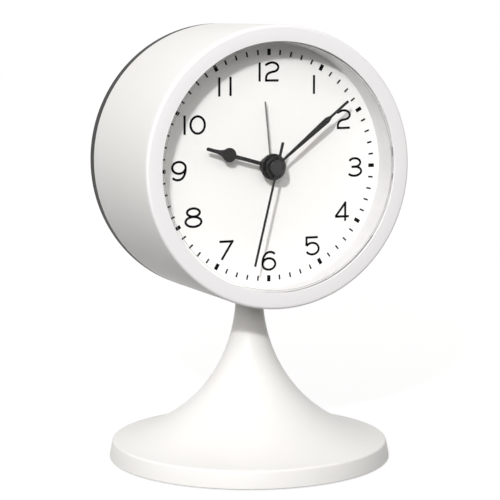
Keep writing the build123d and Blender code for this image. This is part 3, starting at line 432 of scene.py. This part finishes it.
def clear_lens():
    """Polished clear acrylic: light and sight go straight through, and a little is mirrored at a slant."""
    finish, tree, output, _ = new_finish("polished_clear_acrylic")
    mirrored = add_node(tree, "ShaderNodeFresnel", {}, {"IOR": 1.12})
    through = add_node(tree, "ShaderNodeBsdfTransparent", {}, {"Color": colour("#fefefe")})
    gloss = add_node(tree, "ShaderNodeBsdfGlossy", {}, {"Roughness": 0.03})
    both = add_node(tree, "ShaderNodeMixShader", {},
                    {0: mirrored.outputs["Fac"], 1: through.outputs["BSDF"], 2: gloss.outputs["BSDF"]})
    tree.links.new(both.outputs["Shader"], output.inputs["Surface"])
    return finish


finishes = {
    # satin white ABS: soft broad highlights, a trace of warmth
    "case_white": moulded("satin_white_abs", "#e4e3e1", "#e1e0dd", 0.40, 0.6, 0.003, ior=1.37),
    "dial_white": dial_card(),
    "lens_clear": clear_lens(),
    # stoved black paint on pressed aluminium: near black, softly glossy
    "hand_black": moulded("satin_black_stoved_paint", "#171716", "#131312", 0.38, 0.25, 0.002, ior=1.42),
    # the same paint in grey: quiet against the white dial
    "alarm_hand_grey": moulded("satin_grey_stoved_paint", "#737372", "#6d6d6c", 0.40, 0.25, 0.002),
    # spark-eroded black ABS: an even matt grain, drawn a little coarser than it is so that it shows
    "cover_black": moulded("grained_black_abs", "#1d1d1c", "#191918", 0.55, 0.5, 0.035, ior=1.40),
    # matt moulded ABS: a flat white with no highlight to speak of
    "base_plate_white": moulded("matt_white_abs", "#e9e8e4", "#e4e3de", 0.60, 0.6, 0.02),
    # moulded rubber: dull black that hardly shines
    "foot_rubber": moulded("black_rubber", "#2b2b2b", "#222222", 0.85, 0.7, 0.03, ior=1.52),
    # sand-cast iron left raw: dark, dull and mottled
    "weight_iron": metal("raw_cast_iron", "#5d5d60", "#47474a", 0.62, 0.9, (1.0, 1.0, 1.0)),
    # zinc plate on turned steel: bright and cool, with fine streaks
    "screw_steel": metal("zinc_plated_steel", "#c9cacb", "#b2b3b5", 0.30, 0.4, (1.0, 0.25, 1.0)),
    # moulded polystyrene: black with a plain soft sheen
    "movement_plastic": moulded("black_polystyrene", "#2c2c2c", "#262626", 0.45, 0.5, 0.01, ior=1.59),
    # moulded acetal: milky cream with a waxy gloss
    "wheel_acetal": moulded("natural_acetal", "#efede2", "#e6e3d5", 0.38, 0.4, 0.003, ior=1.48),
    # rolled steel sheet: mid grey, streaked along the roll
    "magnet_iron": metal("silicon_steel_sheet", "#8f9092", "#7b7c7f", 0.40, 0.3, (0.2, 1.0, 1.0)),
    # wound enamelled wire: warm lines side by side
    "coil_copper": metal("enamelled_copper_wire", "#c0703f", "#9c5428", 0.28, 0.18, (12.0, 1.0, 1.0)),
    # lacquer over a glass-fibre board: even green, smooth
    "board_green": moulded("green_solder_mask", "#17613a", "#12522f", 0.35, 0.8, 0.01),
    # moulded epoxy: matt charcoal
    "chip_black": moulded("black_epoxy_moulding", "#1f1f20", "#19191a", 0.60, 0.3, 0.01),
    # nickel plate on spring strip: bright and faintly warm
    "contact_nickel": metal("nickel_plated_spring_steel", "#d3cfc6", "#bdb9b0", 0.24, 0.3, (1.0, 1.0, 0.2)),
    # shrunk printed film: smooth dark gloss
    "cell_wrap": moulded("gloss_printed_sleeve", "#3c3f45", "#34373c", 0.25, 0.6, 0.002, ior=1.50),
    # extruded PVC: deep red with a soft shine
    "lead_sleeve": moulded("red_pvc_sleeve", "#8c2320", "#7a1d1b", 0.45, 0.5, 0.004),
}
# cooler white ABS off a smoother tool: a slightly crisper highlight than the drum has
bezel_white = moulded("satin_cool_white_abs", "#e6e5e6", "#e4e3e4", 0.36, 0.6, 0.003)
# moulded polystyrene: a smooth white wall that shades evenly into the recess
recess_white = moulded("satin_white_polystyrene", "#dddcdd", "#dbdadb", 0.34, 0.6, 0.001, ior=1.45)
# the second hand's cap is painted glossier than the blades
cap_black = moulded("gloss_black_stoved_paint", "#2b292c", "#272528", 0.17, 0.25, 0.001, ior=1.50)
# screen-printed ink: flat black without a highlight; the same in grey is painted shade, a line on the lens
# standing in for the shadow gap inside the opening
black_ink = moulded("black_screen_ink", "#0b0b0b", "#080808", 0.70, 0.3, 0.002, ior=1.12)
shade_line_grey = moulded("grey_painted_shade", "#9a9a99", "#959594", 0.70, 0.3, 0.002, ior=1.12)
# pad-printed ink: soft white, a little glossier than the grain under it
white_ink = moulded("white_pad_ink", "#d9d9d6", "#d2d2cf", 0.50, 0.3, 0.002, ior=1.50)

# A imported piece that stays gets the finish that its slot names
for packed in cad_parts.values():
    for holder in packed.material_slots:
        holder.material = finishes[holder.material.name]


# Stand
def flare(start, start_reach, end, end_reach, shares):
    """The trumpet's curve: leaves its outer end at a low rise and comes to the neck nearly upright."""
    start_pull = (start[0] - start_reach * math.cos(flare_rise),
                  start[1] + start_reach * math.sin(flare_rise))
    end_pull = (end[0] + end_reach * math.sin(neck_lean),
                end[1] - end_reach * math.cos(neck_lean))
    return bezier(start, start_pull, end_pull, end, shares)


def under_drum(points):
    """Points held below the drum's tapered skin: height at most axis height less sqrt(R^2 - x^2)."""
    radius = drum_radius - drum_taper * (-points[:, 1] - drum_back) / (band_back - drum_back)
    skin = axis_height - np.sqrt(np.maximum(radius ** 2 - points[:, 0] ** 2, 0))
    points[:, 2] = np.minimum(points[:, 2], skin)
    return points


def trumpet_stand():
    """Rim, flare and neck outside, bolt hole and cavity inside, turned about the upright axis."""
    rim_top = (rim_radius - rim_taper, rim_bottom + rim_height)
    neck_top = (neck_radius, axis_height - drum_radius + neck_sink)
    recess_radius = plate_high[0] + seat_gap
    tangent = (rim_top[0] - flare_reach, rim_top[1] + flare_reach * math.tan(flare_rise), 0)
    rim = rounded([(recess_radius, rim_bottom, 0), (rim_radius, rim_bottom, rim_foot_round),
                   (*rim_top, rim_round), tangent])[:3 * ROUND_STEPS]
    outside = flare(rim_top, flare_reach, neck_top, neck_reach,
                    np.linspace(flare_start_share, 1, FLARE_STEPS))
    bore = [(bolt_hole_radius, neck_top[1]), (bolt_hole_radius, shoulder_height)]
    cavity_top = (rim_top[0] - cavity_wall, rim_top[1] - cavity_ceiling)
    cavity = flare(cavity_top, cavity_reach, (bolt_room_radius, shoulder_height), bolt_room_reach,
                   np.linspace(1, 0, CAVITY_STEPS))
    recess = [(cavity_top[0], plate_high[2]), (recess_radius, plate_high[2])]
    points, faces = turned(np.concatenate([rim, outside, bore, cavity, recess]))
    put("trumpet_stand", under_drum(points), faces, finishes["case_white"], "clock_case", "case_white",
        "stand_shell")


# Drum, bezel, recess, dial and lens, all turned about the drum's axis
def about_drum(name, outline, finish, slot, *stands_for):
    """A ring or disc with a closed outline of (radius, reach, round) corners."""
    points, faces = turned(rounded(outline))
    put(name, on_front(points), faces, finish, "clock_case", slot, *stands_for)


def drum_shell():
    """A tube whose outside draws in evenly from the back to the front."""
    inner = drum_radius - drum_wall
    outline = [(inner, drum_back, 0), (drum_radius, drum_back, edge_break),
               (drum_radius - drum_taper, band_back, drum_edge_round), (inner, band_back, 0)]
    about_drum("drum_shell", outline, finishes["case_white"], "case_white", "case_drum")


def bezel_ring():
    """A flat face with a round outer edge, a ledge behind it for the lens and a sleeve inside the drum."""
    outline = [(ring_radius, band_back, 0), (ring_radius, ring_front, ring_round),
               (opening_radius, ring_front, opening_round), (opening_radius, lens_front, 0),
               (sleeve_inner_radius, lens_front, 0), (sleeve_inner_radius, sleeve_back, 0),
               (sleeve_outer_radius, sleeve_back, 0), (sleeve_outer_radius, band_back, 0)]
    about_drum("bezel_ring", outline, bezel_white, "case_white", "front_ring")


def recess_wall():
    """A straight tube from the dial to the lens."""
    outline = [(inner_wall_radius, dial_front, 0), (lens_radius, dial_front, 0),
               (lens_radius, lens_back, 0), (inner_wall_radius, lens_back, edge_break)]
    about_drum("recess_wall", outline, recess_white, "case_white", "inner_ring")


def dial_disc():
    """A flat disc with a hole for the hands' pipes."""
    outline = [(dial_hole_radius, dial_back, 0), (lens_radius, dial_back, 0),
               (lens_radius, dial_front, 0), (dial_hole_radius, dial_front, edge_break)]
    about_drum("dial_disc", outline, finishes["dial_white"], "dial_white", "dial")


def lens_disc():
    """The clear disc, and a thin grey line round its front, painted shade for the dark shadow gap just
    inside the bezel's opening.
    """
    outline = [(0, lens_back, 0), (lens_radius, lens_back, edge_break),
               (lens_radius, lens_front, edge_break), (0, lens_front, 0)]
    about_drum("lens_disc", outline, finishes["lens_clear"], "lens_clear", "lens")
    # painted shade: a grey ring on the lens where the shadow gap inside the opening falls
    near, far = opening_shade_line
    line_front = lens_front + print_thickness
    border = [(near, lens_front, 0), (far, lens_front, 0), (far, line_front, 0), (near, line_front, 0)]
    about_drum("opening_shade_line", border, shade_line_grey, "alarm_hand_grey")


# Dial print: centre lines of the numerals' strokes, about the middle of each numeral
numeral_strokes = {
    "0": [oval((0, 0), (2.62, 2.95), 0, 360)],
    "1": [line((0, -3.3), (0, 3.3))],
    "2": [np.concatenate([line((-2.6, 2.2)), oval((0.05, 1.50), (2.32, 1.62), 128, -62),
                          bezier((1.14, 0.07), (0.2, -0.25), (-2.28, -0.05), (-2.28, -2.50),
                                 np.linspace(0.04, 1, 30)), [(-2.28, -3.48)]]),
          line((-2.28, -3.12), (2.48, -3.12))],
    "3": [np.concatenate([oval((-0.25, 1.58), (2.22, 1.54), 158, -78), line((-1.45, 0.04))]),
          np.concatenate([line((-0.45, 0.04)), oval((-0.32, -1.52), (2.68, 1.64), 88, -147)])],
    "4": [line((0.95, 3.5), (0.95, -3.5)), line((1.15, 3.3), (-2.9, -1.85)),
          line((-3.05, -1.85), (2.45, -1.85))],
    "5": [line((-2.25, 3.12), (2.2, 3.12)), line((-2.25, 3.48), (-2.25, 0.1)),
          oval((0.02, -0.95), (2.52, 2.08), 150, -150)],
    "6": [oval((0, -1.12), (2.45, 2.02), 0, 360),
          np.concatenate([bezier((-2.45, -1.15), (-2.45, 1.55), (-1.35, 3.14), (0.45, 3.14),
                                 np.linspace(0, 1, 30)),
                          bezier((0.45, 3.14), (1.2, 3.14), (1.8, 2.85), (2.3, 2.35),
                                 np.linspace(0.05, 1, 14))])],
    "7": [line((-2.45, 3.12), (2.8, 3.12)), line((2.65, 3.45), (-1.65, -3.3))],
    "8": [oval((0, 1.78), (2.35, 1.42), 0, 360), oval((0, -1.48), (2.92, 1.72), 0, 360)],
}
numeral_strokes["9"] = [-stroke for stroke in numeral_strokes["6"]]

# Where the middle of each digit lies, right and up from the drum's axis
numeral_places = [
    ("1", -3.3, 32.85), ("2", 1.4, 33.0), ("1", 17.5, 28.3), ("2", 29.2, 15.9), ("3", 33.9, -1.3),
    ("4", 29.1, -17.1), ("5", 17.1, -29.1), ("6", 0.3, -33.6), ("7", -16.0, -29.1), ("8", -28.1, -17.1),
    ("9", -33.35, -0.8), ("1", -31.2, 14.9), ("0", -26.4, 14.9), ("1", -18.4, 27.85), ("1", -14.2, 28.0),
]

# Section of every printed stroke and mark on the dial
dial_section = slab(dial_front, dial_front + print_thickness)


def mark_shift(turn):
    """How far the uneven print puts a mark at turn a to the right, 0.35 + 0.15 sin 2a - 0.10 cos 2a, and up,
    0.425 cos 2a - 0.445: those at the sides lie low."""
    twice = 2 * math.radians(turn)
    right = 0.35 + 0.15 * math.sin(twice) - 0.10 * math.cos(twice)
    return right, 0.425 * math.cos(twice) - 0.445


def round_the_dial(count, size, skip):
    """Marks of (width, length) pointing to the middle, evenly spaced, leaving out every skip-th one."""
    width, length = size
    upright = line((0, mark_radius - length / 2), (0, mark_radius + length / 2))
    points, faces = ribbon(upright, width / 2, dial_section)
    turns = [360 * step / count for step in range(count) if not skip or step % skip]
    return [(clockwise(points, turn) + (*mark_shift(turn), 0), faces) for turn in turns]


def dial_print():
    """Numerals as strokes of one width, blocks at the hours and ticks at the minutes."""
    marks = round_the_dial(12, hour_block, 0) + round_the_dial(60, minute_tick, 5)
    for digit, right, up in numeral_places:
        for stroke in numeral_strokes[digit]:
            marks.append(ribbon(stroke + (right, up), stroke_width / 2, dial_section))
    points, faces = together(*marks)
    put("dial_print", on_front(points), faces, black_ink, "clock_case", "hand_black")


# Hands
def hand_levels(node):
    """Reach of a hand's back, where its blade lies, and of its front, where its hub ends."""
    low, high = box_mm(node)
    return -high[1], -low[1]


def hand(node, turn, stations, half_width, back, edge, hub):
    """A hand: a blade along twelve o'clock with a half width at each station, and a turned hub."""
    path = np.stack([np.zeros(len(stations)), stations], axis=-1)
    points, faces = together(ribbon(path, half_width, blade(back, back + blade_thickness, edge)), *hub)
    slot = "alarm_hand_grey" if node == "alarm_hand" else "hand_black"
    put(node + "_pressed", on_front(clockwise(points, turn)), faces, finishes[slot], node, slot, node)


def hour_hand():
    """Stem, ball of radius R at c: sqrt(R^2 - (y - c)^2), and a taper that curves in to a round tip."""
    back, front = hand_levels("hour_hand")
    length, ball_place, ball_radius, stem, tip = 25.65, 16.9, 2.5, 0.68, 0.62
    ball_pull, tip_pull, bluntness = 19.4, 21.8, 0.0004
    shoulder = math.radians(30)
    taper = bezier((ball_radius * math.cos(shoulder), ball_place + ball_radius * math.sin(shoulder)),
                   (tip, ball_pull), (tip, tip_pull), (tip, length - tip), np.linspace(0, 1, TAPER_STEPS))
    stations = np.concatenate([[hour_pipe_radius + blade_root],
                               np.linspace(ball_place - ball_radius, length, BLADE_STEPS)])
    ball = np.sqrt(np.maximum(ball_radius ** 2 - (stations - ball_place) ** 2, 0))
    curve = np.where(stations > taper[0, 1], np.interp(stations, taper[:, 1], taper[:, 0]), 0)
    straight = np.where(stations < ball_place, stem, 0)
    end = np.sqrt(np.maximum(tip ** 2 - np.maximum(stations - (length - tip), 0) ** 2, bluntness)) / tip
    half_width = np.maximum.reduce([ball, curve, straight]) * end
    middle = (back + front) / 2
    pipe_bore = hour_pipe_radius + push_gap
    tube_bore = minute_tube_radius + running_gap
    hub = rounded([(pipe_bore, back, 0), (hour_hub_radius, back, hub_back_round),
                   (hour_hub_radius, front, hub_front_round), (tube_bore, front, 0),
                   (tube_bore, middle, 0), (pipe_bore, middle, 0)])
    hand("hour_hand", hour_turn, stations, half_width, back, blade_break, [turned(hub, HUB_STEPS)])


def minute_hand():
    """Widens evenly along most of its length, draws in at straight shoulders and goes on as a thin tip."""
    back, front = hand_levels("minute_hand")
    length, root, wide, tip = 35.9, 0.36, 1.05, 0.44
    widest, shoulder, shoulder_end = 25.2, 25.6, 27.4
    stations = np.array([minute_tube_radius + blade_root, widest, shoulder, shoulder_end,
                         length - blade_end, length])
    half_width = np.array([root, wide, wide, tip, tip, tip * blade_end_share])
    bore = minute_tube_radius + push_gap
    hub = rounded([(bore, back, 0), (minute_hub_radius, back, hub_back_round),
                   (minute_hub_radius, front, hub_front_round), (bore, front, 0)])
    hand("minute_hand", minute_turn, stations, half_width, back, blade_break, [turned(hub, HUB_STEPS)])


def second_hand():
    """A needle with a heavier tail, a boss behind and a cap with a rounded rim and a dished face."""
    back, front = hand_levels("second_hand")
    length, needle, tail_length, tail = 35.3, 0.36, 9.0, 0.45
    tail_end, tail_root, needle_root = 0.25, -1.6, -1.2
    boss_radius, boss_length, seat_depth = 1.6, 0.5, 0.5
    cap_radius, dish_rim, dish_radius, dish_depth = 2.75, 2.12, 2.06, 0.25
    stations = np.array([-tail_length, tail_end - tail_length, tail_root, needle_root,
                         length - blade_end, length])
    half_width = np.array([tail * blade_end_share, tail, tail, needle, needle, needle * needle_end_share])
    bore = arbor_radius + push_gap
    cap_back = back + boss_length
    seat = cap_back + seat_depth
    dish = front - dish_depth
    cap = rounded([(bore, back, 0), (boss_radius, back, 0), (boss_radius, cap_back, 0),
                   (cap_radius, cap_back, 0.1), (cap_radius, front, 0.42), (dish_rim, front, 0.18),
                   (dish_radius, dish, 0.06), (0, dish, 0), (0, seat, 0), (bore, seat, 0)])
    hand("second_hand", second_turn, stations, half_width, cap_back, blade_break / 2, [])
    points, faces = turned(cap, HUB_STEPS)
    put("second_hand_cap", on_front(points), faces, cap_black, "second_hand", "hand_black")


def alarm_hand():
    """A plain thin needle on a ring."""
    back, front = hand_levels("alarm_hand")
    length, needle, needle_root, ring_edge = 22.8, 0.21, 0.3, 0.1
    stations = np.array([alarm_pipe_radius + needle_root, length - blade_end, length])
    half_width = np.array([needle, needle, needle * needle_end_share])
    bore = alarm_pipe_radius + push_gap
    ring = rounded([(bore, back, 0), (alarm_ring_radius, back, 0), (alarm_ring_radius, front, ring_edge),
                    (bore, front, 0)])
    hand("alarm_hand", alarm_turn, stations, half_width, back, blade_break / 2, [turned(ring, HUB_STEPS)])


# Back of the clock
def fluted_knob(node, body):
    """A turned knob of radius R whose side goes in and out: a point at radius r and angle a comes in by the
    share depth times (1 + cos(flutes a)) / 2 times (r / R)^fade, so the middle stays. Gives its place."""
    low, high = box_mm(node)
    middle = (low + high) / 2
    radius = (high[0] - low[0]) / 2
    length = high[1] - low[1]
    bore, seat = 1.02, 4.0
    soft_edge, front_edge = 0.3, 0.9
    dish_rim, dish_radius = radius - 1.5, radius - 1.9
    dish = length - 0.4
    flutes, depth, fade = 18, 0.07, 8
    outline = rounded([(bore, 0, 0), (radius, 0, soft_edge), (radius, length, front_edge),
                       (dish_rim, length, soft_edge), (dish_radius, dish, soft_edge), (0, dish, 0),
                       (0, seat, 0), (bore, seat, 0)])
    points, faces = turned(outline, KNOB_STEPS)
    reach = np.hypot(points[:, 0], points[:, 1])
    wave = (1 + np.cos(flutes * np.arctan2(points[:, 0], points[:, 1]))) / 2
    points[:, :2] *= (1 - depth * wave * (reach / radius) ** fade)[:, None]
    right, up, out = points.T
    placed = np.stack([middle[0] - right, low[1] + out, middle[2] + up], axis=-1)
    put(node + "_fluted", placed, faces, finishes["cover_black"], body, "cover_black", node)
    return -middle[0], middle[2] - axis_height


def arrow_round(centre, radius, start, end):
    """An arc round a knob with an arrow's barbs at its end."""
    bend = oval(centre, (radius, radius), start, end)
    tip = bend[-1]
    ahead = unit(bend[-1] - bend[-2])
    aside = np.array([-ahead[1], ahead[0]])
    barb_length, barb_spread, overrun = 1.3, 0.9, 0.25
    barbs = [tip - barb_length * ahead + barb_spread * aside, tip + overrun * ahead,
             tip - barb_length * ahead - barb_spread * aside]
    return [bend, line(barbs[0], barbs[1]), line(barbs[1], barbs[2])]


def on_off_words(height):
    """The words OFF and ON as strokes, either side of the switch as it slides."""
    tall, wide, bar_share, letter_step = 1.0, 0.62, 0.7, 2.1
    stem = line((-wide, -tall), (-wide, tall))
    letters = {
        "O": [oval((0, 0), (wide, tall), 0, 360)],
        "F": [stem, line((-wide, tall), (wide, tall)), line((-wide, 0), (wide * bar_share, 0))],
        "N": [stem, line((-wide, tall), (wide, -tall)), line((wide, -tall), (wide, tall))],
    }
    strokes = []
    for word, middle in (("ON", -8.6), ("OFF", 9.4)):
        for place, letter in enumerate(word):
            right = middle + (place - (len(word) - 1) / 2) * letter_step
            strokes += [stroke + (right, height) for stroke in letters[letter]]
    return strokes


def rear_marks(time_knob, alarm_knob):
    """Pad-printed marks: turning arrows at the knobs, a clock and a bell sign, and the switch's words."""
    arrow_radius, arrow_start, arrow_end, sign_rise, half_line = 8.4, 150, 30, 12.4, 0.19
    switch_low, switch_high = box_mm("alarm_switch")
    switch_up = (switch_low[2] + switch_high[2]) / 2 - axis_height
    strokes = on_off_words(switch_up)
    for knob in (time_knob, alarm_knob):
        strokes += arrow_round(knob, arrow_radius, arrow_start, arrow_end)
    sign_up = time_knob[1] + sign_rise
    clock_place = np.array((time_knob[0], sign_up))
    strokes += [oval(clock_place, (1.9, 1.9), 0, 360), line(clock_place + (0, 1.2), clock_place),
                line(clock_place, clock_place + (0.85, 0))]
    bell_place = np.array((alarm_knob[0], sign_up))
    bell = np.concatenate([line((-1.7, -1.2), (-1.25, -0.6)), oval((0, 0.3), (1.25, 1.5), 180, 0, 25),
                           line((1.25, -0.6), (1.7, -1.2))])
    lip = line((-1.9, -1.2), (1.9, -1.2))
    clapper = line((0, -1.3), (0, -1.9))
    strokes += [stroke + bell_place for stroke in (bell, lip, clapper)]
    section = slab(0, print_thickness)
    points, faces = together(*[ribbon(stroke, half_line, section) for stroke in strokes])
    put("rear_marks", on_back(points), faces, white_ink, "clock_case", "dial_white")


trumpet_stand()
drum_shell()
bezel_ring()
recess_wall()
dial_disc()
lens_disc()
dial_print()
hour_hand()
minute_hand()
second_hand()
alarm_hand()
rear_marks(fluted_knob("time_set_knob", "time_setting"), fluted_knob("alarm_set_knob", "alarm_setting"))


# Stage: white floor that keeps a faint shadow, white surroundings, one key light
def seen_directly(tree):
    """1 for rays that show the background itself: from the camera, off a mirror or through glass, before any
    diffuse bounce."""
    path = add_node(tree, "ShaderNodeLightPath", {}, {})
    seen = add_node(tree, "ShaderNodeMath", {"operation": "MAXIMUM"},
                    {0: path.outputs["Is Camera Ray"], 1: path.outputs["Is Glossy Ray"]})
    seen = add_node(tree, "ShaderNodeMath", {"operation": "MAXIMUM"},
                    {0: seen.outputs[0], 1: path.outputs["Is Transmission Ray"]})
    sharp = add_node(tree, "ShaderNodeMath", {"operation": "LESS_THAN"},
                     {0: path.outputs["Diffuse Depth"], 1: 0.5})
    return add_node(tree, "ShaderNodeMath", {"operation": "MULTIPLY"},
                    {0: seen.outputs[0], 1: sharp.outputs[0]}).outputs[0]


def white_floor():
    """Seen, a white sweep with the object's faint shadow; as a source of bounced light, a dull one."""
    finish, tree, output, _ = new_finish("white_paper_floor")
    glow = add_node(tree, "ShaderNodeEmission", {}, {"Color": colour("#ffffff"), "Strength": floor_glow})
    lit = add_node(tree, "ShaderNodeBsdfDiffuse", {}, {"Color": floor_lit})
    shown = add_node(tree, "ShaderNodeAddShader", {}, {0: glow.outputs["Emission"], 1: lit.outputs["BSDF"]})
    bounce = add_node(tree, "ShaderNodeBsdfDiffuse", {}, {"Color": floor_bounce})
    both = add_node(tree, "ShaderNodeMixShader", {},
                    {0: seen_directly(tree), 1: bounce.outputs["BSDF"], 2: shown.outputs["Shader"]})
    tree.links.new(both.outputs["Shader"], output.inputs["Surface"])
    half = floor_half * MM
    corners = [(-half, -half, 0), (half, -half, 0), (half, half, 0), (-half, half, 0)]
    mesh = bpy.data.meshes.new("floor")
    mesh.from_pydata(corners, [], [(0, 1, 2, 3)])
    mesh.materials.append(finish)
    floor = bpy.data.objects.new("floor", mesh)
    floor.location.z = -floor_drop * MM
    bpy.context.scene.collection.objects.link(floor)


def direction(turn, rise):
    """Unit vector towards a place at a turn from the front and a rise above the table."""
    return Vector((math.sin(turn) * math.cos(rise), -math.cos(turn) * math.cos(rise), math.sin(rise)))


def white_surroundings():
    """Seen, plain white; as light, two soft bands of height, low and middle, brighter towards front left."""
    world = bpy.data.worlds.new("studio")
    bpy.context.scene.world = world
    world.use_nodes = True
    tree = world.node_tree
    tree.nodes.clear()
    output = add_node(tree, "ShaderNodeOutputWorld", {}, {})
    way = add_node(tree, "ShaderNodeTexCoord", {}, {}).outputs["Generated"]
    height = add_node(tree, "ShaderNodeSeparateXYZ", {}, {0: way}).outputs["Z"]
    level = add_node(tree, "ShaderNodeVectorMath", {"operation": "MULTIPLY"}, {0: way, 1: (1.0, 1.0, 0.0)})
    level = add_node(tree, "ShaderNodeVectorMath", {"operation": "NORMALIZE"}, {0: level.outputs[0]})
    towards = add_node(tree, "ShaderNodeVectorMath", {"operation": "DOT_PRODUCT"},
                       {0: level.outputs[0], 1: direction(soft_turn, 0)})
    towards = add_node(tree, "ShaderNodeMath", {"operation": "MAXIMUM"},
                       {0: towards.outputs["Value"], 1: 0.0})
    towards = add_node(tree, "ShaderNodeMath", {"operation": "POWER"},
                       {0: towards.outputs[0], 1: soft_power}).outputs[0]
    bands = []
    for start, end, around, ahead in soft_bands:
        rise = add_node(tree, "ShaderNodeMapRange", {"interpolation_type": "SMOOTHSTEP"},
                        {"Value": height, "From Min": start - band_fade, "From Max": start + band_fade})
        fall = add_node(tree, "ShaderNodeMapRange", {"interpolation_type": "SMOOTHSTEP"},
                        {"Value": height, "From Min": end - band_fade, "From Max": end + band_fade,
                         "To Min": rise.outputs["Result"], "To Max": 0.0})
        glow = add_node(tree, "ShaderNodeMapRange", {},
                        {"Value": towards, "To Min": around, "To Max": ahead})
        bands.append(add_node(tree, "ShaderNodeMath", {"operation": "MULTIPLY"},
                              {0: fall.outputs["Result"], 1: glow.outputs["Result"]}).outputs[0])
    both = add_node(tree, "ShaderNodeMath", {"operation": "ADD"}, {0: bands[0], 1: bands[1]})
    soft = add_node(tree, "ShaderNodeBackground", {},
                    {"Color": colour("#fffdfb"), "Strength": both.outputs[0]})
    white = add_node(tree, "ShaderNodeBackground", {}, {"Color": colour("#ffffff"), "Strength": 1.0})
    shown = add_node(tree, "ShaderNodeMixShader", {},
                     {0: seen_directly(tree),
                      1: soft.outputs["Background"], 2: white.outputs["Background"]})
    tree.links.new(shown.outputs["Shader"], output.inputs["Surface"])


def key_light():
    """A small lamp at the front left, above the clock, that draws the hands' shadows."""
    lamp = bpy.data.lights.new("key", "POINT")
    lamp.energy = key_energy
    lamp.shadow_soft_size = key_size * MM
    key = bpy.data.objects.new("key", lamp)
    key.location = (direction(key_turn, 0) * key_away + Vector((0, 0, key_height))) * MM
    bpy.context.scene.collection.objects.link(key)


def camera():
    """Looks at the aim from a distance, at the turn and rise of the photograph."""
    lens = bpy.data.cameras.new("camera")
    lens.lens = view_lens
    lens.clip_start = 0.01
    lens.clip_end = 50.0
    back = direction(view_turn, view_rise)
    aim = Vector((view_aim * math.cos(view_turn), view_aim * math.sin(view_turn), view_aim_height)) * MM
    holder = bpy.data.objects.new("camera", lens)
    holder.location = aim + back * view_distance * MM
    holder.rotation_mode = "QUATERNION"
    holder.rotation_quaternion = (-back).to_track_quat("-Z", "Y")
    bpy.context.scene.collection.objects.link(holder)
    bpy.context.scene.camera = holder


white_floor()
white_surroundings()
key_light()
camera()
bpy.context.scene.view_settings.view_transform = "Standard"
